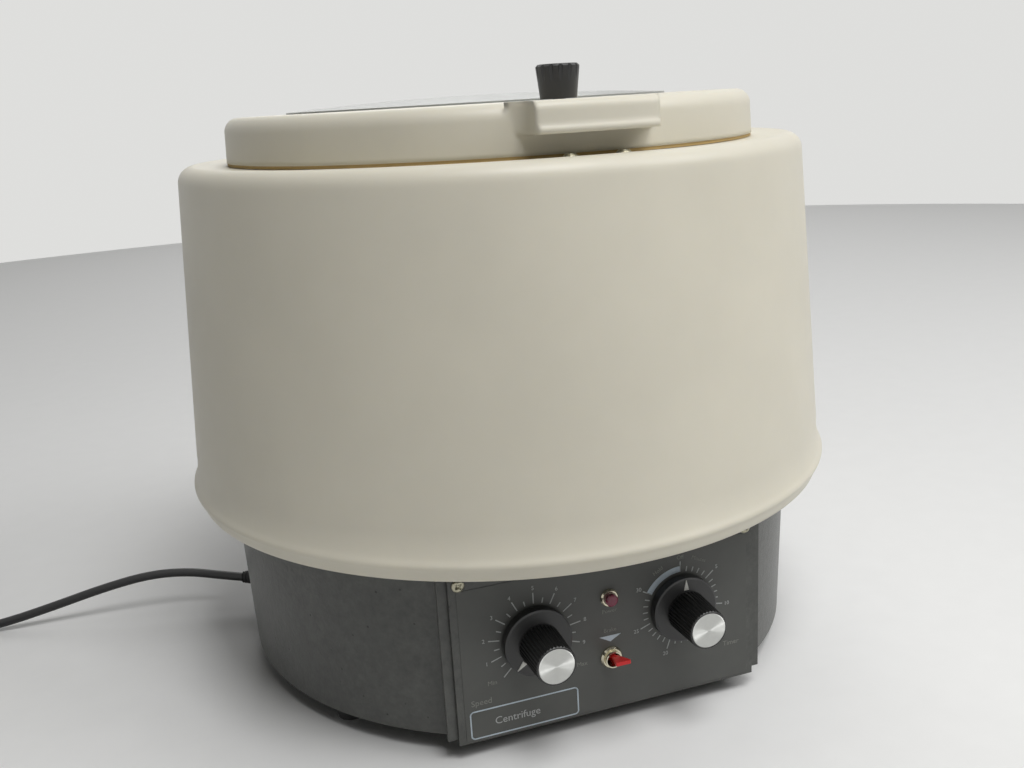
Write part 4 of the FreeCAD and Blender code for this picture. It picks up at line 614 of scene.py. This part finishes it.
def print_words(words, centre, height, turn=0.0, align="CENTER"):
    """Printed words on the panel, turned clockwise by an angle in degrees."""
    deselect()
    bpy.ops.object.text_add()
    text = bpy.context.active_object
    text.data.body = words
    text.data.size = height * FONT_SIZE
    text.data.align_x = align
    text.data.align_y = "CENTER"
    text.data.extrude = sizes().print_height / 2
    text.data.resolution_u = 3
    upright = Matrix.Rotation(math.radians(90), 4, "X")
    spin = Matrix.Rotation(math.radians(turn), 4, "Y")
    place = Vector((centre[0] * MM, panel_face() - sizes().print_height / 2, centre[1] * MM))
    text.matrix_world = Matrix.Translation(place) @ spin @ upright
    bpy.ops.object.convert(target="MESH")
    return settle(bpy.context.active_object)


def on_dial(dial, angle, radius):
    """The place on the panel at a clockwise angle from the top of a dial."""
    return (dial[0] + radius * math.sin(math.radians(angle)),
            dial[1] + radius * math.cos(math.radians(angle)))


def tick(dial, angle, start, end):
    """A tick of a dial between two radii in millimetres."""
    return print_block(on_dial(dial, angle, (start + end) / 2), sizes().tick_width,
                       (end - start) * MM, angle)


class CENTRIFUGE_OT_speed_print(bpy.types.Operator):
    """Print the speed dial's ticks, figures and end words"""

    bl_idname = "centrifuge.speed_print"
    bl_label = "Speed print"

    def execute(self, context):
        ticks = []
        for step in range(SPEED_TICKS):
            end = LONG_TICK_END if step % 2 == 0 else SHORT_TICK_END
            ticks.append(tick(SPEED_DIAL, SPEED_START + SPEED_TICK * step, TICK_START, end))
        figures = [print_words(str(figure), on_dial(SPEED_DIAL,
                                                    SPEED_START + 2 * SPEED_TICK * figure,
                                                    SPEED_FIGURE_RADIUS),
                               sizes().figure_height) for figure in range(1, 10)]
        lines = join("speed_print", ticks + figures)
        finish_piece(lines, "case", finish_print("line"))
        words = join("speed_words", [
            print_words("Min", (-72.0, 45.4), sizes().word_height * 0.75),
            print_words("Max", (-18.0, 44.0), sizes().word_height * 0.75),
            print_words("Speed", (-79.0, 35.0), sizes().word_height)])
        finish_piece(words, "case", finish_print("word"))
        return {"FINISHED"}


class CENTRIFUGE_OT_timer_print(bpy.types.Operator):
    """Print the timer dial's ticks, figures, hold band and words"""

    bl_idname = "centrifuge.timer_print"
    bl_label = "Timer print"

    def execute(self, context):
        ticks = []
        for minute in range(TIMER_MINUTES + 1):
            end = LONG_TICK_END if minute % 5 == 0 else SHORT_TICK_END
            ticks.append(tick(TIMER_DIAL, MINUTE * minute, TICK_START, end))
        figures = [print_words(str(minute), on_dial(TIMER_DIAL, MINUTE * minute,
                                                    TIMER_FIGURE_RADIUS),
                               sizes().figure_height)
                   for minute in range(5, TIMER_MINUTES + 1, 5)]
        lines = join("timer_print", ticks + figures)
        finish_piece(lines, "case", finish_print("line"))
        words = join("timer_words", [
            print_words("Off", on_dial(TIMER_DIAL, 0, 30.4), sizes().figure_height),
            print_words("Minutes", on_dial(TIMER_DIAL, 24, 29.6), sizes().figure_height * 0.9,
                        24),
            print_words("Hold", on_dial(TIMER_DIAL, -30, 28.6), sizes().figure_height, -30),
            print_words("Timer", (78.5, 35.0), sizes().word_height * 0.85)])
        finish_piece(words, "case", finish_print("word"))
        middle = (HOLD_INNER + HOLD_OUTER) / 2
        half_bar = math.radians(HOLD_SPAN / 2 / HOLD_BARS)
        width = 2 * HOLD_OUTER * math.tan(half_bar) * MM * BAND_OVERLAP
        band = []
        for step in range(HOLD_BARS):
            angle = -HOLD_SPAN + (step + 0.5) * HOLD_SPAN / HOLD_BARS
            band.append(print_block(on_dial(TIMER_DIAL, angle, middle), width,
                                    (HOLD_OUTER - HOLD_INNER) * MM, angle))
        piece = join("hold_band", band)
        finish_piece(piece, "case", finish_print("block"))
        return {"FINISHED"}


def wedge(name, centre, width, height, turn, front, thick):
    """A flat triangle on the panel's side, its tip away from the dial's middle."""
    deselect()
    bpy.ops.mesh.primitive_cylinder_add(vertices=3, radius=1, depth=1)
    piece = bpy.context.active_object
    piece.rotation_euler = (math.radians(90), 0, 0)
    settle(piece)
    low, high = extent(piece)
    if sum(1 for v in piece.data.vertices if v.co.z > high.z - 0.01) > 2:
        piece.rotation_euler = (0, math.radians(180), 0)
        settle(piece)
        low, high = Vector((-high.x, low.y, -high.z)), Vector((-low.x, high.y, -low.z))
    middle = (low + high) / 2
    piece.location = -middle
    settle(piece)
    span = high - low
    piece.scale = (width / span.x, thick / span.y, height / span.z)
    settle(piece)
    piece.rotation_euler = (0, math.radians(turn), 0)
    piece.location = (centre[0] * MM, front + thick / 2, centre[1] * MM)
    piece.name = name
    return settle(piece)


# Pointers on the knobs' skirts, in millimetres: the skirts' front before the panel, the radius
# of the pointers' middle, their size, and the rounding of their edges
SKIRT_FRONT = 7.5
POINTER_RADIUS = 16.2
POINTER_WIDTH = 3.2
POINTER_HEIGHT = 6.4
POINTER_DEPTH = 1.0
POINTER_EDGE = 0.12


class CENTRIFUGE_OT_knob_pointers(bpy.types.Operator):
    """Fill the pointers on the two knobs' skirts"""

    bl_idname = "centrifuge.knob_pointers"
    bl_label = "Knob pointers"

    def execute(self, context):
        skirt_front = panel_face() - SKIRT_FRONT * MM
        for name, dial, angle in (("speed", SPEED_DIAL, SPEED_START), ("timer", TIMER_DIAL, 0)):
            piece = wedge(name + "_pointer", on_dial(dial, angle, POINTER_RADIUS),
                          POINTER_WIDTH * MM, POINTER_HEIGHT * MM, angle, skirt_front,
                          POINTER_DEPTH * MM)
            pick(piece)
            edge = piece.modifiers.new("edge", "BEVEL")
            edge.width = POINTER_EDGE * MM
            edge.segments = 2
            bpy.ops.object.modifier_apply(modifier="edge")
            finish_piece(piece, name + "_dial", finish("pointer_fill"))
        return {"FINISHED"}


# Cross recess: turn of its two slots in degrees, and its length, width and depth over the
# head's radius
RECESS_TURNS = (38, 128)
RECESS = (1.15, 0.24, 0.62)
# Screws that get a recess: new name, node, body and the way that their heads face
CROSSED = (
    ("panel_cross_screws", "panel_screws", "case", (0, -1, 0)),
    ("catch_cross_screws", "catch_screws", "case", (0, 0, 1)),
    ("hinge_base_cross_screws", "hinge_base_screws", "case", (0, 0, 1)),
    ("hinge_lid_cross_screws", "hinge_lid_screws", "lid", (0, 1, 0)),
    ("foot_cross_screws", "foot_screws", "case", (0, 0, -1)),
)


def crossed_screws(name, node, body, outward):
    """Copy a node of screws and cut a cross recess into each head."""
    piece = bpy.data.objects.new(name, NODES[node].data.copy())
    bpy.context.scene.collection.objects.link(piece)
    pick(piece)
    bpy.ops.object.mode_set(mode="EDIT")
    bpy.ops.mesh.select_all(action="SELECT")
    bpy.ops.mesh.remove_doubles(threshold=MERGE)
    bpy.ops.mesh.separate(type="LOOSE")
    bpy.ops.object.mode_set(mode="OBJECT")
    screws = list(bpy.context.selected_objects)
    outward = Vector(outward)
    for screw in screws:
        low, high = extent(screw)
        span = high - low
        radius = min(span[axis] for axis in range(3) if abs(outward[axis]) < 0.5) / 2
        along = abs(span.dot(outward)) / 2
        head = (low + high) / 2 + outward * along
        for turn in RECESS_TURNS:
            deselect()
            bpy.ops.mesh.primitive_cube_add(size=1)
            cutter = bpy.context.active_object
            cutter.matrix_world = (
                Matrix.Translation(head) @ outward.to_track_quat("Z", "Y").to_matrix().to_4x4()
                @ Matrix.Rotation(math.radians(turn), 4, "Z")
                @ Matrix.Diagonal((*(radius * share for share in RECESS), 1)))
            settle(cutter)
            recess = screw.modifiers.new("recess", "BOOLEAN")
            recess.object = cutter
            recess.operation = "DIFFERENCE"
            pick(screw)
            bpy.ops.object.modifier_apply(modifier="recess")
            bpy.data.objects.remove(cutter)
    piece = join(name, screws)
    smooth_shade(piece, 35)
    return finish_piece(piece, body, finish("zinc_screw"), [node])


class CENTRIFUGE_OT_cross_screws(bpy.types.Operator):
    """Give the visible screws their cross recesses"""

    bl_idname = "centrifuge.cross_screws"
    bl_label = "Cross-head screws"

    def execute(self, context):
        for screws in CROSSED:
            crossed_screws(*screws)
        return {"FINISHED"}


def lathe(name, outline, steps=48):
    """Spin an outline of (radius, height) in millimetres into a closed piece round Z."""
    deselect()
    bpy.ops.mesh.primitive_plane_add(size=1)
    piece = bpy.context.active_object
    piece.name = name
    piece.data.name = name
    bpy.ops.object.mode_set(mode="EDIT")
    bpy.ops.mesh.select_mode(type="VERT")
    bpy.ops.mesh.select_all(action="SELECT")
    bpy.ops.mesh.merge(type="CENTER")
    places = [Vector((radius, 0, height)) * MM for radius, height in outline]
    bpy.ops.transform.translate(value=places[0])
    for before, after in zip(places, places[1:]):
        bpy.ops.mesh.extrude_region_move(TRANSFORM_OT_translate={"value": after - before})
    bpy.ops.mesh.select_all(action="SELECT")
    bpy.ops.mesh.spin(steps=steps, angle=math.radians(360), center=(0, 0, 0), axis=(0, 0, 1))
    bpy.ops.mesh.select_all(action="SELECT")
    bpy.ops.mesh.remove_doubles(threshold=MERGE)
    bpy.ops.mesh.normals_make_consistent(inside=False)
    bpy.ops.object.mode_set(mode="OBJECT")
    return piece


def through(start, middle, end, steps=8):
    """Points of the arc from start to end through middle, without its start."""
    (ax, ay), (bx, by), (cx, cy) = start, middle, end
    double = 2 * (ax * (by - cy) + bx * (cy - ay) + cx * (ay - by))
    first, second, third = ax * ax + ay * ay, bx * bx + by * by, cx * cx + cy * cy
    across = (first * (by - cy) + second * (cy - ay) + third * (ay - by)) / double
    along = (first * (cx - bx) + second * (ax - cx) + third * (bx - ax)) / double
    radius = math.hypot(ax - across, ay - along)
    begin = math.atan2(ay - along, ax - across)
    sweep = math.atan2(cy - along, cx - across) - begin
    sweep = (sweep + math.pi) % (2 * math.pi) - math.pi
    return [(across + radius * math.cos(begin + sweep * step / steps),
             along + radius * math.sin(begin + sweep * step / steps))
            for step in range(1, steps + 1)]


# Section of the moulded case, as (radius, height); three places in a row mark an arc
CASE_SECTION = (
    (209.7, 119.3), (211.8, 125.6), ((213.4, 127.8), (212.2, 130.4)),
    ((210.05, 138.4), (209.3, 149.0)), (197.6, 319.0), ((194.67, 326.07), (187.6, 329.0)),
    (184.0, 327.5), (152.0, 327.5), ((150.59, 326.91), (150.0, 325.5)), (150.0, 322.5),
    (187.6, 322.5), ((191.14, 321.04), (192.6, 317.5)), (204.3, 149.0), (204.2, 139.0),
    (191.0, 139.0), (191.0, 131.0), (204.7, 131.0), (204.7, 119.3), (209.7, 119.3))


class CENTRIFUGE_OT_moulded_case(bpy.types.Operator):
    """Turn the moulded case with even facets, so that its long curves shade smoothly"""

    bl_idname = "centrifuge.moulded_case"
    bl_label = "Moulded case"

    def execute(self, context):
        outline = []
        for place in CASE_SECTION:
            if isinstance(place[0], tuple):
                outline += through(outline[-1], place[0], place[1])
            else:
                outline.append(place)
        piece = lathe("moulded_case", outline, 192)
        smooth_shade(piece, 32)
        finish_piece(piece, "case", finish("cream_plastic"), ["outer_shell"])
        return {"FINISHED"}


# Strain relief, in millimetres: how far it reaches back, its whole length, its ribs, and its
# radius at the root and at the tip
RELIEF_BACK = 6.0
RELIEF_LENGTH = 26.0
RELIEF_RIBS = 6
RELIEF_ROOT = 6.4
RELIEF_TIP = 4.2


class CENTRIFUGE_OT_strain_relief(bpy.types.Operator):
    """Mould the ribbed strain relief round the lead"""

    bl_idname = "centrifuge.strain_relief"
    bl_label = "Strain relief"

    def execute(self, context):
        start, collar = RELIEF_BACK + 0.3, RELIEF_BACK + 2.8
        root, tip = RELIEF_ROOT, RELIEF_TIP
        outline = [(0, 0), (6.0, 0), (6.0, start), (7.6, start), (8.0, start + 0.4),
                   (8.0, collar - 0.7), (7.4, collar), (root, collar)]
        pitch = (RELIEF_LENGTH - collar) / RELIEF_RIBS
        for rib in range(RELIEF_RIBS):
            low = collar + rib * pitch
            before = root + (tip - root) * rib / RELIEF_RIBS
            after = root + (tip - root) * (rib + 1) / RELIEF_RIBS
            outline += [(before - 0.1, low + pitch * 0.5), (before - 0.9, low + pitch * 0.58),
                        (before - 0.9, low + pitch * 0.88), (after, low + pitch * 0.96)]
        outline += [(tip, RELIEF_LENGTH), (0, RELIEF_LENGTH)]
        piece = lathe("ribbed_strain_relief", outline)
        root_place = Vector(LEAD_START) * MM
        ahead = Vector((root_place.x, root_place.y, 0)).normalized()
        piece.matrix_world = (Matrix.Translation(root_place - ahead * RELIEF_LENGTH * MM)
                              @ ahead.to_track_quat("Z", "Y").to_matrix().to_4x4())
        settle(piece)
        smooth_shade(piece, 40)
        finish_piece(piece, "case", finish("black_rubber"), ["strain_relief"])
        return {"FINISHED"}


PLUG_AHEAD = Vector((1, -0.14, 0)).normalized()
# Width and thickness of the plug's full section, in millimetres
PLUG_SECTION = (25, 20.4)
# Where the plug's tail starts ahead of the lead's end, and its share of the full section
PLUG_TAIL = (0.6, 0.46)
# Rounding of the plug's long edges, and the least turn in degrees of an edge that gets it
PLUG_EDGE = 3.2
PLUG_EDGE_TURN = 70
# Sections of the plug from the lead's end: how far ahead, and its share of the full section
PLUG_SECTIONS = ((3.5, 0.46), (5.0, 0.52), (6.5, 0.46), (9.0, 0.50), (10.5, 0.57), (12.0, 0.52),
                 (15.5, 0.62), (19.0, 0.80), (22.0, 0.92), (25.5, 0.88), (29.0, 0.95),
                 (34.0, 1.0), (35.6, 1.0), (36.0, 0.97))


class CENTRIFUGE_OT_plug(bpy.types.Operator):
    """Mould the plug with its ribbed tail and finger grip"""

    bl_idname = "centrifuge.plug"
    bl_label = "Plug"

    def execute(self, context):
        deselect()
        bpy.ops.mesh.primitive_cube_add(size=1)
        piece = context.active_object
        ahead, share = PLUG_TAIL
        piece.scale = (PLUG_SECTION[0] * MM * share, PLUG_SECTION[1] * MM * share, ahead * MM)
        piece.location = (0, 0, ahead / 2 * MM)
        settle(piece)
        bpy.ops.object.mode_set(mode="EDIT")
        bpy.ops.mesh.select_mode(type="FACE")
        bpy.ops.mesh.select_all(action="DESELECT")
        bpy.ops.object.mode_set(mode="OBJECT")
        for face in piece.data.polygons:
            face.select = face.normal.z > 0.9
        bpy.ops.object.mode_set(mode="EDIT")
        for next_ahead, next_share in PLUG_SECTIONS:
            step = (next_ahead - ahead) * MM
            bpy.ops.mesh.extrude_region_move(
                TRANSFORM_OT_translate={"value": (0, 0, step), "orient_type": "GLOBAL"})
            grow = next_share / share
            bpy.ops.transform.resize(value=(grow, grow, 1), orient_type="GLOBAL")
            ahead, share = next_ahead, next_share
        bpy.ops.object.mode_set(mode="OBJECT")
        pick(piece)
        edge = piece.modifiers.new("edge", "BEVEL")
        edge.width = PLUG_EDGE * MM
        edge.segments = 3
        edge.limit_method = "ANGLE"
        edge.angle_limit = math.radians(PLUG_EDGE_TURN)
        bpy.ops.object.modifier_apply(modifier="edge")
        across = PLUG_AHEAD.cross(Vector((0, 0, 1)))
        turn = Matrix((across, Vector((0, 0, 1)), PLUG_AHEAD)).transposed().to_4x4()
        piece.matrix_world = Matrix.Translation(Vector(TAIL_ROUTE[-1]) * MM) @ turn
        piece = join("moulded_plug", [piece])
        bpy.ops.object.mode_set(mode="EDIT")
        bpy.ops.mesh.select_all(action="SELECT")
        bpy.ops.mesh.normals_make_consistent(inside=False)
        bpy.ops.object.mode_set(mode="OBJECT")
        smooth_shade(piece, 40)
        finish_piece(piece, "case", finish("cord_jacket"), ["plug_body"])
        return {"FINISHED"}


# Width and height of the arrow over the toggle, in millimetres
ARROW = (13.5, 3.8)


class CENTRIFUGE_OT_centre_print(bpy.types.Operator):
    """Print the lamp's and toggle's words, the arrow and the nameplate's frame"""

    bl_idname = "centrifuge.centre_print"
    bl_label = "Centre print"

    def execute(self, context):
        words = join("centre_words", [
            print_words("Power", (LAMP[0], 73.6), sizes().figure_height),
            print_words("Brake", (TOGGLE[0], 61.5), sizes().figure_height)])
        finish_piece(words, "case", finish_print("word"))
        plate = join("plate_word", [print_words("Centrifuge", (-72.0, 21.2),
                                                sizes().word_height * 1.25, align="LEFT")])
        finish_piece(plate, "case", finish_print("line"))
        thick = sizes().print_height
        arrow = wedge("brake_arrow", (TOGGLE[0], 56.1), ARROW[0] * MM, ARROW[1] * MM, 180,
                      panel_face() - thick, thick)
        finish_piece(arrow, "case", finish_print("block"))
        plate_frame = join("nameplate_frame", rounded_frame(PLATE_ACROSS, PLATE_UP,
                                                            PLATE_CORNER, PLATE_LINE))
        finish_piece(plate_frame, "case", finish_print("block"))
        return {"FINISHED"}


def rounded_frame(across, up, corner, width):
    """Bars of a rounded frame line on the panel, in millimetres."""
    left, right = across
    low, high = up
    bars = [
        print_block(((left + right) / 2, low), (right - left - 2 * corner) * MM, width * MM),
        print_block(((left + right) / 2, high), (right - left - 2 * corner) * MM, width * MM),
        print_block((left, (low + high) / 2), width * MM, (high - low - 2 * corner) * MM),
        print_block((right, (low + high) / 2), width * MM, (high - low - 2 * corner) * MM),
    ]
    bar = (2 * (corner + width / 2) * math.tan(math.radians(45 / CORNER_BARS))
           * CORNER_OVERLAP)
    for centre, start in (((right - corner, high - corner), 0),
                          ((right - corner, low + corner), 90),
                          ((left + corner, low + corner), 180),
                          ((left + corner, high - corner), 270)):
        for step in range(CORNER_BARS):
            angle = start + (step + 0.5) * 90 / CORNER_BARS
            bars.append(print_block(on_dial(centre, angle, corner), bar * MM, width * MM,
                                    angle))
    return bars


# Strength of the room's light on the part, and of the backdrop as it is seen and mirrored
ROOM_LIGHT = 0.08
BACKDROP_LIGHT = 0.9
# Soft lamps: name, place and target in metres, side in metres and power in watts
LAMPS = (
    ("key_softbox", (1.7, -1.1, 1.9), (0, 0, 0.15), 1.2, 21),
    ("ceiling_softbox", (1.6, 0.6, 3.2), (0.7, 0.3, 0), 4.0, 26),
    ("overhead_softbox", (0.15, -1.0, 2.2), (0, -0.3, 0), 0.9, 26),
    ("front_fill", (0.4, -2.2, 2.2), (0, -0.2, 0.1), 1.0, 5),
    ("back_fill", (0.6, 2.5, 1.8), (0, 0, 0.15), 1.2, 10),
)


class CENTRIFUGE_OT_stage(bpy.types.Operator):
    """Lay the bench top and set the soft lights"""

    bl_idname = "centrifuge.stage"
    bl_label = "Stage"

    def execute(self, context):
        deselect()
        bpy.ops.mesh.primitive_circle_add(vertices=160, radius=sizes().floor_span / 2,
                                          fill_type="NGON")
        floor = context.active_object
        floor.name = "bench_top"
        floor.data.materials.append(plain("bench_laminate", colours().floor, 0.45, 4.0, 0.004,
                                          spread=0.01, ior=1.45))
        world = bpy.data.worlds.new("studio")
        context.scene.world = world
        world.use_nodes = True
        tree = world.node_tree
        tree.nodes.clear()
        path = add_node(tree, "ShaderNodeLightPath")
        seen = add_node(tree, "ShaderNodeMath", {0: path.outputs["Is Camera Ray"],
                                                 1: path.outputs["Is Glossy Ray"]},
                        operation="MAXIMUM")
        seen = add_node(tree, "ShaderNodeMath", {
            0: seen.outputs[0], 1: path.outputs["Is Transmission Ray"]}, operation="MAXIMUM")
        dim = add_node(tree, "ShaderNodeBackground", {"Color": linear("#F2F2F0"),
                                                      "Strength": ROOM_LIGHT})
        bright = add_node(tree, "ShaderNodeBackground", {"Color": linear("#E9E9E7"),
                                                         "Strength": BACKDROP_LIGHT})
        mix = add_node(tree, "ShaderNodeMixShader", {
            "Fac": seen.outputs[0], 1: dim.outputs[0], 2: bright.outputs[0]})
        out = add_node(tree, "ShaderNodeOutputWorld")
        tree.links.new(mix.outputs[0], out.inputs["Surface"])
        for lamp in LAMPS:
            soft_lamp(*lamp)
        context.scene.view_settings.view_transform = "Standard"
        return {"FINISHED"}


def soft_lamp(name, place, target, side, watts):
    """A square soft lamp at a place, aimed at a target."""
    data = bpy.data.lights.new(name, "AREA")
    data.size = side
    data.energy = watts
    lamp = bpy.data.objects.new(name, data)
    bpy.context.scene.collection.objects.link(lamp)
    aim = Vector(target) - Vector(place)
    lamp.matrix_world = (Matrix.Translation(place)
                         @ aim.to_track_quat("-Z", "Y").to_matrix().to_4x4())
    return lamp


class CENTRIFUGE_PT_sidebar(bpy.types.Panel):
    """Lists the pieces, their sizes and their colours."""

    bl_idname = "CENTRIFUGE_PT_sidebar"
    bl_label = "Bench Centrifuge"
    bl_space_type = "VIEW_3D"
    bl_region_type = "UI"
    bl_category = "Centrifuge"

    def draw(self, context):
        for group in (context.scene.centrifuge_sizes, context.scene.centrifuge_colours):
            box = self.layout.box()
            for name in group.bl_rna.properties.keys():
                if name not in ("rna_type", "name"):
                    box.prop(group, name)
        for operator in OPERATORS:
            self.layout.operator(operator.bl_idname)


OPERATORS = (
    CENTRIFUGE_OT_camera,
    CENTRIFUGE_OT_plug,
    CENTRIFUGE_OT_power_cord,
    CENTRIFUGE_OT_strain_relief,
    CENTRIFUGE_OT_finishes,
    CENTRIFUGE_OT_moulded_case,
    CENTRIFUGE_OT_cross_screws,
    CENTRIFUGE_OT_knob_pointers,
    CENTRIFUGE_OT_speed_print,
    CENTRIFUGE_OT_timer_print,
    CENTRIFUGE_OT_centre_print,
    CENTRIFUGE_OT_stage,
)
CLASSES = (CENTRIFUGE_PG_colours, CENTRIFUGE_PG_sizes, *OPERATORS, CENTRIFUGE_PT_sidebar)


def register():
    """Register the classes and the scene's settings."""
    for item in CLASSES:
        bpy.utils.register_class(item)
    bpy.types.Scene.centrifuge_colours = PointerProperty(type=CENTRIFUGE_PG_colours)
    bpy.types.Scene.centrifuge_sizes = PointerProperty(type=CENTRIFUGE_PG_sizes)


def unregister():
    """Remove the settings and the classes."""
    del bpy.types.Scene.centrifuge_sizes
    del bpy.types.Scene.centrifuge_colours
    for item in reversed(CLASSES):
        bpy.utils.unregister_class(item)


def main():
    """Make everything in order."""
    register()
    bpy.ops.centrifuge.camera()
    bpy.ops.centrifuge.plug()
    bpy.ops.centrifuge.power_cord()
    bpy.ops.centrifuge.strain_relief()
    bpy.ops.centrifuge.finishes()
    bpy.ops.centrifuge.moulded_case()
    bpy.ops.centrifuge.cross_screws()
    bpy.ops.centrifuge.knob_pointers()
    bpy.ops.centrifuge.speed_print()
    bpy.ops.centrifuge.timer_print()
    bpy.ops.centrifuge.centre_print()
    bpy.ops.centrifuge.stage()


if __name__ == "__main__":
    main()
